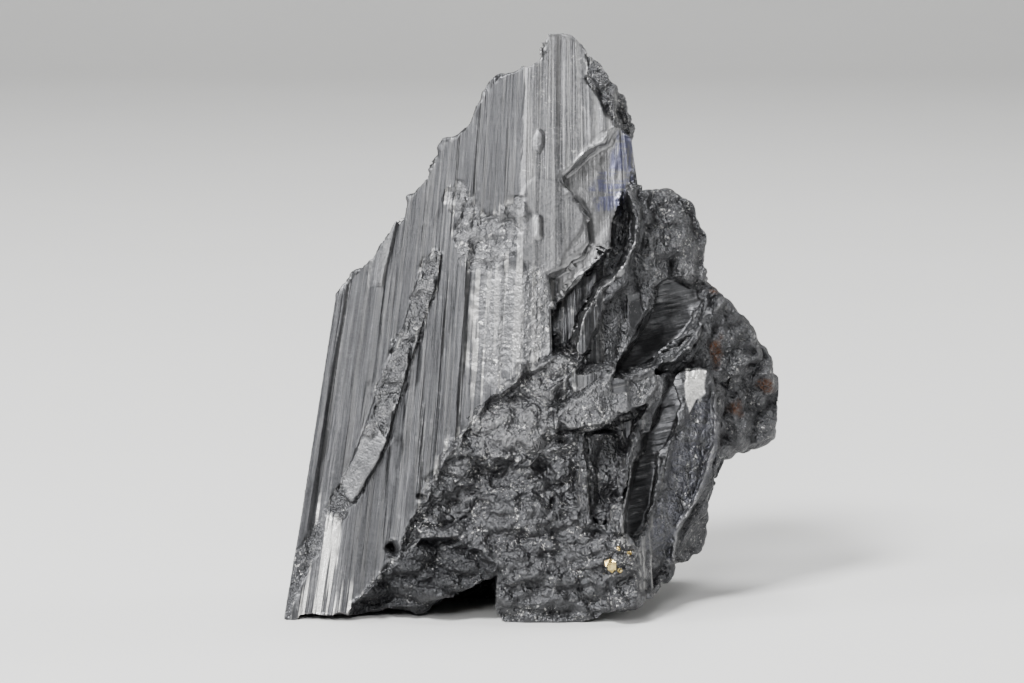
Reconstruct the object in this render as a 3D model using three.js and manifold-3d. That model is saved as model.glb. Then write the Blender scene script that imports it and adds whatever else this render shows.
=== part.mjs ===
// Andorite crystal: one rough, dark steel-grey metallic crystal, about 30 mm tall.
// A tapering prism with striated faces fills the left and top. Its right side is broken
// into curved ledges, blade ridges and hollows, with smaller crystals grown on behind.
//
// Frame while modelling: X to the right, Y into the specimen, Z up along the front, in millimetres.
// At the end the crystal is laid back by REST_LEAN, its feet are cut flat where it stands,
// and the origin is put at the bottom centre of its box.
import * as THREE from 'three';
import { ConvexGeometry } from 'three/addons/geometries/ConvexGeometry.js';
import { mergeVertices } from 'three/addons/utils/BufferGeometryUtils.js';
import Module from 'manifold-3d';

const wasm = await Module();
wasm.setup();

// ---------- Driving dimensions ----------

const PRISM_HEIGHT = 31; // length of the prism before its top is broken off
const APEX = new THREE.Vector3(1.5, 9.4, 89); // point that the prism's edges converge on
const REST_LEAN = THREE.MathUtils.degToRad(8); // how far it leans back as it stands
const FLOOR_RISE = Math.tan(REST_LEAN); // rise of the surface it stands on, per millimetre of depth
const FOOT_LEVEL = -0.15; // height of that surface below the front; the feet are cut flat on it
const FRONT_CLEARANCE = 8; // how far a front cutter reaches out of the specimen
const WELD = 1e-6; // corners closer than this are the same corner

// ---------- Noise ----------

// A repeatable number from 0 to 1 for three whole numbers.
function latticeValue(i, j, k) {
  const s = Math.sin(i * 127.1 + j * 311.7 + k * 74.7) * 43758.5453;
  return s - Math.floor(s);
}

// Smooth noise from -1 to 1, one bump per unit of length.
function noise(x, y, z) {
  const [i, j, k] = [x, y, z].map(Math.floor);
  const [u, v, w] = [x - i, y - j, z - k].map((t) => t * t * (3 - 2 * t));
  const mix = THREE.MathUtils.lerp;
  const row = (b, c) => mix(latticeValue(i, j + b, k + c), latticeValue(i + 1, j + b, k + c), u);
  return 2 * mix(mix(row(0, 0), row(1, 0), v), mix(row(0, 1), row(1, 1), v), w) - 1;
}

// ---------- Solids ----------

// A geometry with each corner stored once.
function welded(geometry) {
  const bare = geometry.clone();
  bare.deleteAttribute('normal');
  bare.deleteAttribute('uv');
  return mergeVertices(bare, WELD);
}

// A closed three.js geometry as a manifold-3d solid.
function solidOf(geometry) {
  const merged = welded(geometry);
  return new wasm.Manifold(
    new wasm.Mesh({
      numProp: 3,
      vertProperties: new Float32Array(merged.attributes.position.array),
      triVerts: new Uint32Array(merged.index.array),
    }),
  );
}

// A manifold-3d solid as a three.js geometry.
function geometryOf(solid) {
  const mesh = solid.getMesh();
  const geometry = new THREE.BufferGeometry();
  geometry.setAttribute('position', new THREE.BufferAttribute(mesh.vertProperties, 3));
  geometry.setIndex(new THREE.BufferAttribute(mesh.triVerts, 1));
  return geometry;
}

// Moves every vertex of a geometry: change(point) edits the point in place.
function reshape(geometry, change) {
  const positions = geometry.attributes.position;
  const point = new THREE.Vector3();
  for (let i = 0; i < positions.count; i += 1) {
    point.fromBufferAttribute(positions, i);
    change(point);
    positions.setXYZ(i, point.x, point.y, point.z);
  }
  return geometry;
}

// Halves every edge longer than the limit, keeping the surface closed.
function splitLongEdges(geometry, limit) {
  const merged = welded(geometry);
  const positions = merged.attributes.position;
  const points = Array.from({ length: positions.count }, (_, i) =>
    new THREE.Vector3().fromBufferAttribute(positions, i),
  );
  const middles = new Map();
  const middleOf = (a, b) => {
    const key = a < b ? `${a} ${b}` : `${b} ${a}`;
    if (!middles.has(key)) {
      middles.set(key, points.push(points[a].clone().add(points[b]).multiplyScalar(0.5)) - 1);
    }
    return middles.get(key);
  };
  const lengthOf = ([a, b]) => points[a].distanceTo(points[b]);
  const waiting = [];
  for (let i = 0; i < merged.index.count; i += 3) waiting.push([...merged.index.array.slice(i, i + 3)]);
  const done = [];
  while (waiting.length) {
    const [a, b, c] = waiting.pop();
    const turns = [[a, b, c], [b, c, a], [c, a, b]];
    const longest = turns.reduce((best, turn) => (lengthOf(turn) > lengthOf(best) ? turn : best));
    if (lengthOf(longest) <= limit) {
      done.push(a, b, c);
      continue;
    }
    const [from, to, tip] = longest;
    const middle = middleOf(from, to);
    waiting.push([from, middle, tip], [middle, to, tip]);
  }
  const fine = new THREE.BufferGeometry().setFromPoints(points);
  fine.setIndex(done);
  return fine;
}

// Breaks a geometry's faces up to the given edge length and shakes them, as a fracture does.
function roughen(geometry, edge, depth, bump) {
  return reshape(splitLongEdges(geometry, edge), (p) => {
    const [x, y, z] = [p.x / bump, p.y / bump, p.z / bump];
    p.x += depth * noise(x, y, z + 19);
    p.y += depth * noise(x + 37, y, z);
    p.z += depth * noise(x, y + 53, z);
  });
}

// A block with flat crystal faces through its corner points, slightly broken up.
function block(corners, { edge = 3.0, depth = 0.16, bump = 1.4 } = {}) {
  const points = corners.map(([x, y, z]) => new THREE.Vector3(x, y, z));
  return solidOf(roughen(new ConvexGeometry(points), edge, depth, bump));
}

// A slab seen through an outline of [x, z] points, from y = near(x, z) to y = far(x, z).
function slab(outline, near, far, { edge = 1.5, depth = 0.15, bump = 1.2 } = {}) {
  const shape = new THREE.Shape(outline.map(([x, z]) => new THREE.Vector2(x, z)));
  const plate = new THREE.ExtrudeGeometry(shape, { depth: 1, bevelEnabled: false }).rotateX(Math.PI / 2);
  const fine = reshape(splitLongEdges(plate, edge), (p) => {
    p.y = THREE.MathUtils.lerp(far(p.x, p.z), near(p.x, p.z), -p.y);
  });
  return solidOf(roughen(fine, edge, depth, bump));
}

// What a break takes off the front: everything in front of floor(x, z), inside an outline of
// [x, z] points. The wall round it leans by `lean` over its `wall` height.
function frontBreak(outline, floor, { lean = 0.25, wall = 0.8, edge = 1.8, depth = 0.1, bump = 1.0 } = {}) {
  const shape = new THREE.Shape(outline.map(([x, z]) => new THREE.Vector2(x, z)));
  const plug = new THREE.ExtrudeGeometry(shape, {
    depth: FRONT_CLEARANCE,
    bevelSegments: 1,
    bevelThickness: wall,
    bevelSize: lean,
    bevelOffset: -lean,
  }).rotateX(Math.PI / 2);
  const fine = splitLongEdges(plug, edge);
  reshape(fine, (p) => {
    p.y += floor(p.x, p.z) - wall;
  });
  return solidOf(roughen(fine, edge, depth, bump));
}

// A plane as a floor: depth y0 at (x0, z0), with its slopes along x and z.
const plane = (x0, z0, y0, alongX, alongZ) => (x, z) => y0 + alongX * (x - x0) + alongZ * (z - z0);

// A bowl: a plane that is `deeper` at its middle and fades out at the radii.
function bowl(x0, z0, y0, alongX, alongZ, radiusX, radiusZ, deeper) {
  const base = plane(x0, z0, y0, alongX, alongZ);
  return (x, z) => {
    const r = ((x - x0) / radiusX) ** 2 + ((z - z0) / radiusZ) ** 2;
    return base(x, z) + deeper * Math.max(0, 1 - r);
  };
}

// ---------- The striated prism ----------

// How much narrower the prism is at height z than at its foot.
const taper = (z) => 1 - z / APEX.z;

// Corners of its cross-section at the foot, [x, y], going round with the crystal on the left.
// The number of growth ribs on the face that starts at each corner, and their height.
const PRISM_CORNERS = [
  { at: [-12.5, 2.2], ribs: 17, height: 0.2 }, // left edge, start of the broad striated face
  { at: [-0.9, 0], ribs: 5, height: 0.06 }, // start of the smoother front face
  { at: [5.4, 0.5], ribs: 2, height: 0.05 },
  { at: [6.3, 2.6], ribs: 8, height: 0.15 },
  { at: [6.6, 9.5], ribs: 5, height: 0.2 },
  { at: [3.4, 12.6], ribs: 9, height: 0.3 }, // back face, parallel to the broad face
  { at: [-8.4, 11.2], ribs: 5, height: 0.25 },
  { at: [-12.4, 5.2], ribs: 4, height: 0.15 }, // narrow left side
];

const RISER = 0.2; // half the width of the riser between two ribs, as a share of a rib's width

// One face of the cross-section as flat ribs with steep risers between them.
function ribbedEdge(from, to, ribs, height, seed) {
  const start = new THREE.Vector2(...from);
  const along = new THREE.Vector2(...to).sub(start);
  const inward = new THREE.Vector2(-along.y, along.x).normalize();
  const points = [start.clone()];
  let position = 0;
  let level = 0;
  for (let i = 0; i < ribs; i += 1) {
    const width = (0.45 + 1.1 * latticeValue(seed, i, 1)) / ribs;
    const next = latticeValue(seed, i, 2) * height;
    const at = (t, d) => start.clone().addScaledVector(along, t).addScaledVector(inward, d);
    if (position + width > 0.97) break;
    position += width;
    points.push(at(position - RISER / ribs, level));
    points.push(at(position + RISER / ribs, next));
    level = next;
  }
  return points;
}

function prism() {
  const outline = PRISM_CORNERS.flatMap(({ at, ribs, height }, i) =>
    ribbedEdge(at, PRISM_CORNERS[(i + 1) % PRISM_CORNERS.length].at, ribs, height, i),
  );
  const geometry = new THREE.ExtrudeGeometry(new THREE.Shape(outline), {
    depth: PRISM_HEIGHT + 2,
    steps: 3,
    bevelEnabled: false,
  }).translate(0, 0, -2);
  return solidOf(
    reshape(geometry, (p) => {
      p.x = APEX.x + (p.x - APEX.x) * taper(p.z);
      p.y = APEX.y + (p.y - APEX.y) * taper(p.z);
    }),
  );
}

// Depth of the broad striated face at (x, z).
function faceDepth(x, z) {
  const [left, right] = [PRISM_CORNERS[0].at, PRISM_CORNERS[1].at];
  const footX = APEX.x + (x - APEX.x) / taper(z);
  const footY = THREE.MathUtils.mapLinear(footX, left[0], right[0], left[1], right[1]);
  return APEX.y + (Math.max(footY, 0) - APEX.y) * taper(z);
}

// The rough vein that crosses the broad face and stands a little proud of it.
const VEIN_OUTLINE = [
  [-4.9, 18.9], [-5.4, 18.3], [-6.0, 16.4], [-6.5, 14.8], [-7.5, 12.4], [-8.3, 10.0], [-9.2, 7.6],
  [-9.6, 6.6], [-9.0, 6.1], [-8.4, 7.0], [-7.5, 8.5], [-7.0, 10.0], [-6.2, 12.7], [-5.4, 15.2],
  [-4.7, 17.4], [-4.5, 18.7],
];
const VEIN_HEIGHT = 0.16;

function vein() {
  const near = (x, z) => faceDepth(x, z) - VEIN_HEIGHT;
  const far = (x, z) => faceDepth(x, z) + 1;
  return slab(VEIN_OUTLINE, near, far, { edge: 1.5, depth: 0.05, bump: 0.7 });
}

// ---------- Crystals grown on behind and to the right ----------

const GROWN_ON = {
  backing: [
    [2.0, 5.5, 15.0], [4.5, 6.0, 21.0], [7.6, 6.6, 19.8], [8.4, 7.0, 17.2], [10.3, 7.6, 14.4],
    [10.9, 8.2, 10.0], [8.6, 7.2, 4.0], [6.6, 6.6, 1.6], [2.0, 6.0, 1.6], [2.0, 12.2, 19.6],
    [7.4, 12.6, 17.4], [9.6, 13.2, 13.6], [10.4, 13.2, 10.0], [8.2, 12.6, 4.5], [6.0, 12.0, 1.8],
    [0.0, 12.4, 2.0],
  ],
  upperShoulder: [
    [5.0, 4.2, 21.6], [7.0, 5.2, 21.9], [8.2, 5.6, 21.1], [8.9, 6.4, 20.1], [9.1, 6.8, 17.1],
    [8.1, 5.8, 16.2], [5.0, 3.6, 14.6], [4.8, 9.6, 21.0], [8.0, 9.8, 20.6], [8.9, 10.4, 16.8],
    [4.5, 10.6, 14.0],
  ],
  middleShoulder: [
    [7.2, 5.0, 16.8], [9.4, 6.0, 16.7], [10.4, 6.6, 15.5], [11.0, 7.2, 14.5], [11.3, 7.6, 12.6],
    [8.4, 5.2, 12.4], [6.6, 4.2, 13.8], [8.8, 10.6, 16.2], [11.0, 11.2, 13.8], [11.0, 11.4, 12.2],
    [6.0, 11.0, 12.4],
  ],
  sideCrystal: [
    [9.0, 6.4, 12.9], [11.0, 7.8, 14.0], [12.2, 8.2, 13.9], [13.0, 8.9, 11.8], [12.9, 9.0, 9.3],
    [9.2, 6.6, 8.0], [9.4, 12.4, 13.0], [12.3, 12.8, 13.5], [13.1, 13.2, 11.4], [12.8, 13.0, 9.0],
    [9.0, 12.6, 8.0],
  ],
  flank: [
    [5.6, 3.0, 12.8], [8.7, 4.4, 13.0], [9.6, 5.2, 11.6], [9.65, 5.6, 8.2], [8.8, 5.4, 5.7],
    [7.3, 5.2, 3.0], [6.5, 5.0, 1.4], [3.4, 2.6, 0.9], [3.6, 1.9, 7.2], [4.4, 2.3, 10.8],
    [9.5, 11.4, 11.8], [9.4, 11.6, 8.0], [8.6, 11.4, 5.0], [6.6, 11.2, 1.6], [3.0, 11.0, 1.4],
  ],
  outerFlank: [
    [8.2, 6.2, 6.8], [9.1, 6.8, 6.0], [9.0, 7.4, 4.0], [8.2, 7.6, 2.9], [7.4, 7.8, 1.7],
    [6.4, 6.0, 1.3], [8.8, 11.0, 5.6], [7.6, 11.4, 1.8], [5.8, 11.0, 1.4],
  ],
  shelf: [
    [1.2, 1.2, 11.0], [3.0, 1.6, 12.1], [4.2, 2.1, 12.8], [6.2, 2.8, 12.9], [6.4, 2.7, 12.1],
    [5.6, 2.2, 11.2], [3.6, 1.2, 10.1], [1.3, 0.8, 9.8], [1.0, 5.0, 12.0], [6.6, 6.0, 13.2],
    [3.0, 5.0, 9.0], [6.0, 5.6, 10.6],
  ],
  summitChip: [
    [4.3, 4.2, 27.0], [4.9, 4.4, 26.6], [5.0, 4.4, 24.8], [5.4, 4.4, 23.2], [5.6, 4.8, 22.0],
    [4.6, 4.0, 23.0], [4.4, 6.8, 26.0], [5.4, 7.0, 22.4], [4.4, 6.6, 22.0],
  ],
};

// ---------- Breaks ----------

// The broken top: outline of what stays, from the left edge over the summit to the right.
const TOP_OUTLINE = [
  [-14, 15.6], [-9.9, 16.9], [-9.1, 17.9], [-8.0, 18.9], [-6.8, 20.6], [-6.3, 20.8], [-6.2, 21.7],
  [-5.0, 23.2], [-4.4, 24.5], [-3.0, 25.6], [-2.6, 26.5], [-1.5, 27.6], [-0.1, 28.4], [0.4, 28.7],
  [0.9, 29.8], [1.5, 29.9], [2.8, 29.5], [3.7, 28.6], [4.3, 27.4], [5.1, 26.7], [9, 25.2],
];
const TOP_BREAK = {
  crest: 3, // depth at which that outline is drawn
  fall: 0.5, // how much the break falls for each millimetre into the specimen
  lump: 1.4, // height of the lumps on it
  lumpsFrom: 2, // depth at which the lumps begin
  lumpsTo: 9, // depth at which they have their full height
};

// The lumps of the broken top, as a share of their height.
const topLumps = (x, y) => noise(x / 4.2, y / 3.0, 4.2) + 0.5 * noise(x / 1.9, y / 1.5, 8.6);

function topBreak() {
  const outline = [...TOP_OUTLINE, [9, 40], [-14, 40]];
  const above = slab(outline, () => -4, () => 18, { edge: 2.4, depth: 0.25, bump: 1.6 });
  return solidOf(
    reshape(geometryOf(above), (p) => {
      const { crest, fall, lump, lumpsFrom, lumpsTo } = TOP_BREAK;
      const behind = THREE.MathUtils.smoothstep(p.y, lumpsFrom, lumpsTo);
      p.z -= fall * (p.y - crest) + lump * behind * topLumps(p.x, p.y);
    }),
  );
}

// Ledges from the front face down to the right, each deeper than the one before.
const ledges = () => [
  // plate below the front face, seen bright
  frontBreak(
    [
      [4.6, 27.8], [4.3, 25.2], [3.7, 24.4], [2.8, 23.9], [2.1, 23.2], [1.5, 22.6], [1.8, 21.8],
      [2.4, 21.2], [2.8, 20.5], [2.9, 19.4], [2.5, 18.8], [1.9, 18.5], [1.6, 18.0], [0.8, 17.7],
      [1.0, 16.0], [1.3, 14.8], [1.1, 13.6], [3.4, 12.9], [9, 14], [9, 27.8],
    ],
    plane(2, 22, 3.25, 0.12, 0.1),
    { lean: 0.3, wall: 0.8, depth: 0.06 },
  ),
  // dark gully right of that plate
  frontBreak(
    [
      [5.4, 24.4], [5.2, 23.4], [5.0, 22.4], [4.6, 21.4], [4.2, 20.3], [4.1, 19.1], [3.5, 18.4],
      [2.7, 17.8], [1.7, 17.0], [0.9, 16.0], [1.1, 13.6], [2.3, 13.6], [2.6, 15.2], [3.2, 16.5],
      [4.1, 17.3], [4.8, 18.2], [5.1, 19.5], [5.3, 20.8], [5.7, 21.6], [9, 22.0], [9, 24.4],
    ],
    plane(3, 18, 4.3, 0.1, 0.1),
    { lean: 0.15, wall: 1.0, depth: 0.12, edge: 1.6 },
  ),
  // right of the blade ridge
  frontBreak(
    [
      [5.5, 22.4], [5.6, 20.9], [5.4, 19.5], [5.1, 18.3], [4.5, 17.3], [3.6, 16.4], [3.1, 15.0],
      [2.7, 13.8], [2.3, 12.6], [5, 12.9], [9, 16], [9, 22.4],
    ],
    plane(5, 17, 4.0, 0.42, 0.03),
    { lean: 0.45, wall: 1.2, depth: 0.16 },
  ),
];

// Hollows on the right: what each is broken out of, and its floor.
const HOLLOWS = [
  {
    // the broad scoop below the upper shoulder
    outline: [
      [6.3, 17.2], [7.0, 17.8], [7.9, 17.7], [8.8, 17.1], [9.2, 16.3], [8.8, 15.4], [8.2, 14.5],
      [7.3, 13.7], [6.2, 13.1], [5.2, 12.6], [4.1, 12.3], [4.5, 13.2], [5.3, 14.6], [6.0, 15.9],
    ],
    floor: bowl(7.0, 15.4, 5.6, 0.42, 0.05, 2.0, 2.4, 0.5),
    cut: { lean: 0.3, wall: 0.8, depth: 0.05 },
  },
  {
    // the face that falls away below the long ridge
    outline: [
      [6.2, 12.5], [7.4, 13.2], [8.3, 14.0], [8.9, 15.0], [9.8, 15.9], [10.8, 15.4], [11.6, 13.4],
      [9.9, 12.7], [8.0, 12.2],
    ],
    floor: plane(8.6, 14.0, 5.6, 0.45, -0.3),
    cut: { lean: 0.2, wall: 0.8, depth: 0.14 },
  },
  {
    // the long scoop beside the flank
    outline: [
      [6.9, 12.7], [8.0, 12.8], [8.1, 11.4], [7.9, 10.7], [7.2, 9.2], [6.8, 8.3], [6.6, 7.2],
      [6.4, 5.9], [6.0, 4.7], [5.4, 3.9], [4.7, 4.4], [4.6, 6.2], [4.8, 7.5], [5.1, 8.5], [5.4, 9.2],
      [6.1, 10.1], [6.5, 11.2],
    ],
    floor: bowl(6.1, 8.6, 3.9, 0.3, 0.1, 1.7, 5.6, 0.7),
    cut: { lean: 0.25, wall: 0.8, depth: 0.05 },
  },
];
const GROUND_DEPTH = 9; // how far in the ground behind a hollow's floor reaches
const GROUND_MARGIN = 0.12; // how much wider than the hollow it is, as a share of the hollow's size

// The ground that a hollow is broken out of: a little wider than the hollow, up to its floor.
function ground({ outline, floor }) {
  const centre = outline.reduce((sum, [x, z]) => sum.add(new THREE.Vector2(x, z)), new THREE.Vector2());
  centre.divideScalar(outline.length);
  const wider = outline.map(([x, z]) => [
    x + GROUND_MARGIN * (x - centre.x),
    z + GROUND_MARGIN * (z - centre.y),
  ]);
  return slab(wider, floor, () => GROUND_DEPTH, { edge: 2, depth: 0.05 });
}

// The rough break across the lower front, below the striated face. It steps back under a rim,
// swells out again, and curls under towards the foot.
const LOWER_BREAK = {
  depth: 0.5, // how far it lies behind the striated face
  rimDrop: 0.55, // how much deeper it is right under its rim
  rimReach: 2.4, // how far below the rim that fades out
  curlFrom: 2.6, // height below which it curls under
  curl: 0.28, // how strongly it curls
  swell: 0.3, // height of its broad swells
};

// Height of the rim over the lower break: it climbs to the right.
const rimHeight = (x) => THREE.MathUtils.clamp(8.2 + 0.33 * x, 5.2, 7.8);

function lowerFloor(x, z) {
  const { depth, rimDrop, rimReach, curlFrom, curl, swell } = LOWER_BREAK;
  const belowRim = rimHeight(x) - z;
  const underRim = belowRim > 0 ? rimDrop * Math.max(0, 1 - belowRim / rimReach) : 0;
  const curled = curl * Math.max(0, curlFrom - z) ** 1.4;
  return faceDepth(x, z) + depth + underRim + curled + swell * noise(x / 2.6, 3.3, z / 2.2);
}

const lowerBreaks = () => [
  frontBreak(
    [
      [1.35, 14.8], [1.1, 13.7], [0.0, 12.9], [-0.8, 12.2], [-2.1, 11.2], [-3.0, 10.5], [-3.5, 9.7],
      [-3.7, 9.0], [-4.6, 7.7], [-5.1, 6.3], [-6.0, 5.2], [-6.6, 3.8], [-7.4, 2.4], [-8.0, 1.6],
      [-9.4, 0.4], [-9.4, -3], [4, -3], [4.6, 3.6], [4.3, 6.4], [4.4, 8.6], [3.6, 9.9], [2.0, 9.5],
      [0.9, 9.7], [1.0, 11.6], [2.4, 12.8],
    ],
    lowerFloor,
    { lean: 0.35, wall: 0.5, depth: 0.14, bump: 1.2, edge: 1.6 },
  ),
  // hollow under the shelf
  frontBreak(
    [
      [2.6, 9.7], [3.6, 9.9], [5.6, 11.0], [6.3, 11.4], [5.4, 9.6], [4.9, 8.2], [4.6, 6.4], [3.8, 4.6],
      [3.0, 5.4], [2.8, 7.6],
    ],
    plane(3.8, 8.0, 2.9, 0.16, 0.1),
    { lean: 0.2, wall: 0.9, depth: 0.12 },
  ),
];

// Sharp ridges between the ledges and hollows: the points of each crest, and how wide it is
// RIDGE_ROOT deeper in.
const RIDGE_ROOT = 2.2;
const RIDGES = {
  blade: {
    width: 1.0,
    crest: [
      [5.1, 3.3, 21.9], [5.5, 3.2, 20.8], [5.3, 3.2, 19.4], [4.7, 3.2, 18.1], [3.4, 3.0, 16.8],
      [2.7, 2.9, 15.5], [2.2, 2.8, 14.1],
    ],
  },
  hollowRidge: {
    width: 1.1,
    crest: [[6.4, 5.0, 17.0], [6.1, 4.7, 15.9], [5.6, 4.4, 14.8], [4.9, 4.0, 13.8], [3.9, 3.3, 12.3]],
  },
  longRidge: {
    width: 1.0,
    crest: [
      [9.8, 6.1, 16.1], [9.0, 5.3, 15.5], [8.4, 4.8, 14.4], [7.4, 4.2, 13.4], [6.1, 3.5, 12.7],
      [5.2, 3.0, 12.4],
    ],
  },
  hollowEdge: {
    width: 1.0,
    crest: [[5.8, 3.0, 10.2], [5.2, 2.8, 8.2], [4.9, 2.6, 6.6], [4.6, 2.5, 5.0]],
  },
  flankRim: {
    width: 1.2,
    crest: [
      [9.5, 4.8, 11.4], [9.4, 4.8, 9.0], [8.9, 4.7, 7.5], [8.3, 4.6, 6.0], [7.5, 4.6, 4.6],
      [7.3, 4.7, 3.2],
    ],
  },
};

function ridges() {
  const wedge = (from, to, width) => {
    const across = new THREE.Vector2(to[2] - from[2], from[0] - to[0]).setLength(width / 2);
    const corners = [from, to].flatMap(([x, y, z]) => [
      [x, y, z],
      [x + across.x, y + RIDGE_ROOT, z + across.y],
      [x - across.x, y + RIDGE_ROOT, z - across.y],
    ]);
    return block(corners, { edge: 3, depth: 0 });
  };
  return Object.values(RIDGES).flatMap(({ width, crest }) =>
    crest.slice(1).map((to, i) => wedge(crest[i], to, width)),
  );
}

// The underside, [x, z] at y = 0 from left to right. Where it dips below FOOT_LEVEL the crystal stands.
const FRONT_UNDERSIDE = [
  [-14, -1.2], [-12.0, -1.2], [-11.6, 0.0], [-9.7, 0.3], [-8.9, 0.15], [-7.4, 0.3], [-5.8, 0.5],
  [-4.0, 1.2], [-2.2, 2.35], [-1.6, 2.65], [-1.8, 1.9], [-1.8, 0.9], [-1.4, 0.1], [-0.9, -1.0],
  [2.2, -1.0], [2.9, 0.1], [4.5, 0.65], [6.3, 1.05], [7.3, 2.0], [10, 2.9],
];
const REAR_UNDERSIDE = [
  [-14, 2.0], [-9.4, 1.3], [-7.4, 0.2], [-6.6, -1.2], [-2.4, -1.2], [-1.6, 0.3], [2.4, 0.7],
  [5.8, 1.2], [8.0, 2.4], [12, 3.2],
];
const REAR_START = 7.6; // depth at which the rear part of the underside begins

// Pieces broken off the back and the left, each a convex block whose flat sides leave facets.
const CHIPS = {
  backUpperLeft: [
    [-12.0, 15.0, 22.0], [-9.6, 5.8, 21.0], [-1.5, 15.0, 25.0], [-4.2, 8.6, 24.4], [-9.0, 15.0, 9.0],
    [-12.0, 9.0, 11.0], [-6.6, 9.9, 16.5],
  ],
  backRight: [
    [0.5, 14.4, 21.0], [13.5, 10.0, 21.0], [14.0, 15.0, 21.0], [2.5, 14.4, 4.0], [13.5, 11.6, 4.0],
    [14.0, 15.0, 4.0], [6.6, 11.4, 17.0], [7.6, 12.0, 9.0],
  ],
  backFoot: [
    [-5.0, 14.5, 7.5], [8.0, 14.5, 8.5], [-4.4, 9.8, -2.0], [7.0, 9.4, -2.0], [-8.0, 14.5, -2.0],
    [11.0, 14.5, -2.0], [1.4, 11.3, 3.2],
  ],
  leftFoot: [
    [-13.5, 3.6, 9.0], [-10.4, 9.6, 8.0], [-7.6, 13.0, 7.0], [-13.5, 13.0, 10.0], [-13.5, 4.2, -2.0],
    [-11.0, 6.4, -2.0], [-6.8, 13.0, -2.0], [-13.5, 13.0, -2.0],
  ],
};

// A small deep pit low on the front.
const PIT = { at: [-6.95, 1.4, 3.8], radii: [0.34, 1.2, 0.42], turn: -0.7 };

function pit() {
  const { at, radii, turn } = PIT;
  return solidOf(new THREE.SphereGeometry(1, 10, 7).scale(...radii).rotateY(turn).translate(...at));
}

// Everything below an underside, for depths from y0 to y1.
function below(underside, y0, y1) {
  const outline = [...underside, [12, -6], [-14, -6]];
  const under = slab(outline, () => y0, () => y1, { edge: 2.6, depth: 0.2, bump: 1.6 });
  return solidOf(
    reshape(geometryOf(under), (p) => {
      p.z += FLOOR_RISE * p.y;
    }),
  );
}

// ---------- Assembly ----------

function crystalSolid() {
  const grown = [...Object.values(GROWN_ON).map((corners) => block(corners)), ...HOLLOWS.map(ground), vein()];
  const breaks = [
    topBreak(),
    ...ledges(),
    ...HOLLOWS.map(({ outline, floor, cut }) => frontBreak(outline, floor, cut)),
    ...lowerBreaks(),
    ...Object.values(CHIPS).map((corners) => block(corners, { edge: 2.6, depth: 0.2, bump: 1.6 })),
    pit(),
  ];
  const undersides = [
    below(FRONT_UNDERSIDE, -6, REAR_START + 0.2),
    below(REAR_UNDERSIDE, REAR_START, 18),
  ];
  let body = prism();
  for (const part of grown) body = body.add(part);
  for (const part of breaks) body = body.subtract(part);
  for (const part of ridges()) body = body.add(part);
  for (const part of undersides) body = body.subtract(part);
  return body;
}

const FOOT_CUTTER = { size: 80, height: 20 }; // a box wider than the crystal, under it

// Lays the crystal back, cuts its feet flat and puts the origin at the bottom centre.
function standing(solid) {
  const laidBack = geometryOf(solid).rotateX(-REST_LEAN);
  const { size, height } = FOOT_CUTTER;
  const top = FOOT_LEVEL * Math.cos(REST_LEAN);
  const cutter = new THREE.BoxGeometry(size, size, height).translate(0, 0, top - height / 2);
  const trimmed = geometryOf(largest(solidOf(laidBack).subtract(solidOf(cutter))));
  trimmed.computeBoundingBox();
  const { min, max } = trimmed.boundingBox;
  return trimmed.translate(-(min.x + max.x) / 2, -(min.y + max.y) / 2, -min.z);
}

// The largest of a solid's separate bodies: a cut can leave a crumb.
function largest(solid) {
  return solid.decompose().reduce((a, b) => (b.volume() > a.volume() ? b : a));
}

const STEEL_GREY = new THREE.MeshStandardMaterial({ color: 0x5a5a5c, roughness: 0.42, metalness: 0.85 });

const crystal = new THREE.Mesh(standing(crystalSolid()), STEEL_GREY);
crystal.name = 'andorite_crystal';
crystal.geometry.computeVertexNormals();

const group = new THREE.Group();
group.add(crystal);

export default group;
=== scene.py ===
"""The looks of the andorite crystal: its fine relief, its materials, a pale floor, soft light and a camera.

The crystal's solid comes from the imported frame. Its mesh is remeshed finely, given the striations,
fracture grain and small ledges that the solid leaves out, thinned again, and shared out between three
pieces that meet without a seam, so that each stays small enough to export.

Relief is written in the front frame: millimetres, X to the right, Y into the crystal, Z up along
the striated front, with the crystal stood up straight. Heights are positive towards the viewer.
"""

import math

import bmesh
import bpy
import numpy as np
from mathutils import Matrix, Vector
from mathutils.bvhtree import BVHTree


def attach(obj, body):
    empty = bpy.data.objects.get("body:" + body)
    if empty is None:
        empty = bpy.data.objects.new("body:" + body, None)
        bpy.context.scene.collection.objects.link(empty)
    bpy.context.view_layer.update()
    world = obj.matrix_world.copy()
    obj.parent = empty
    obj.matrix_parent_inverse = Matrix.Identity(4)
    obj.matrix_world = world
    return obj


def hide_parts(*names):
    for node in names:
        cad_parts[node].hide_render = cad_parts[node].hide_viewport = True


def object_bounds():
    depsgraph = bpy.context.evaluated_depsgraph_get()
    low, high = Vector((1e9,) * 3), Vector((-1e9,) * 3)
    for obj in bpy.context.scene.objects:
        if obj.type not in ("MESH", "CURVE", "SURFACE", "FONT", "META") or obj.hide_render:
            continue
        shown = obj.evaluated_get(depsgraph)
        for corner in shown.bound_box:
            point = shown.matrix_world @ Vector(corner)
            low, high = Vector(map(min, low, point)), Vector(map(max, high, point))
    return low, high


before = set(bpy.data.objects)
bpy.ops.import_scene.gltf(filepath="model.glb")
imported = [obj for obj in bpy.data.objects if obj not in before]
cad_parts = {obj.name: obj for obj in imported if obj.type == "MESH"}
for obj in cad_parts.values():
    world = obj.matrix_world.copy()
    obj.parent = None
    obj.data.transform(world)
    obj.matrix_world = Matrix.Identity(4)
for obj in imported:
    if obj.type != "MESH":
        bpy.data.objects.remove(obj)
cad_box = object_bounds()

NODE = "andorite_crystal"
MM = 0.001

# ---------- The front frame ----------

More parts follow.
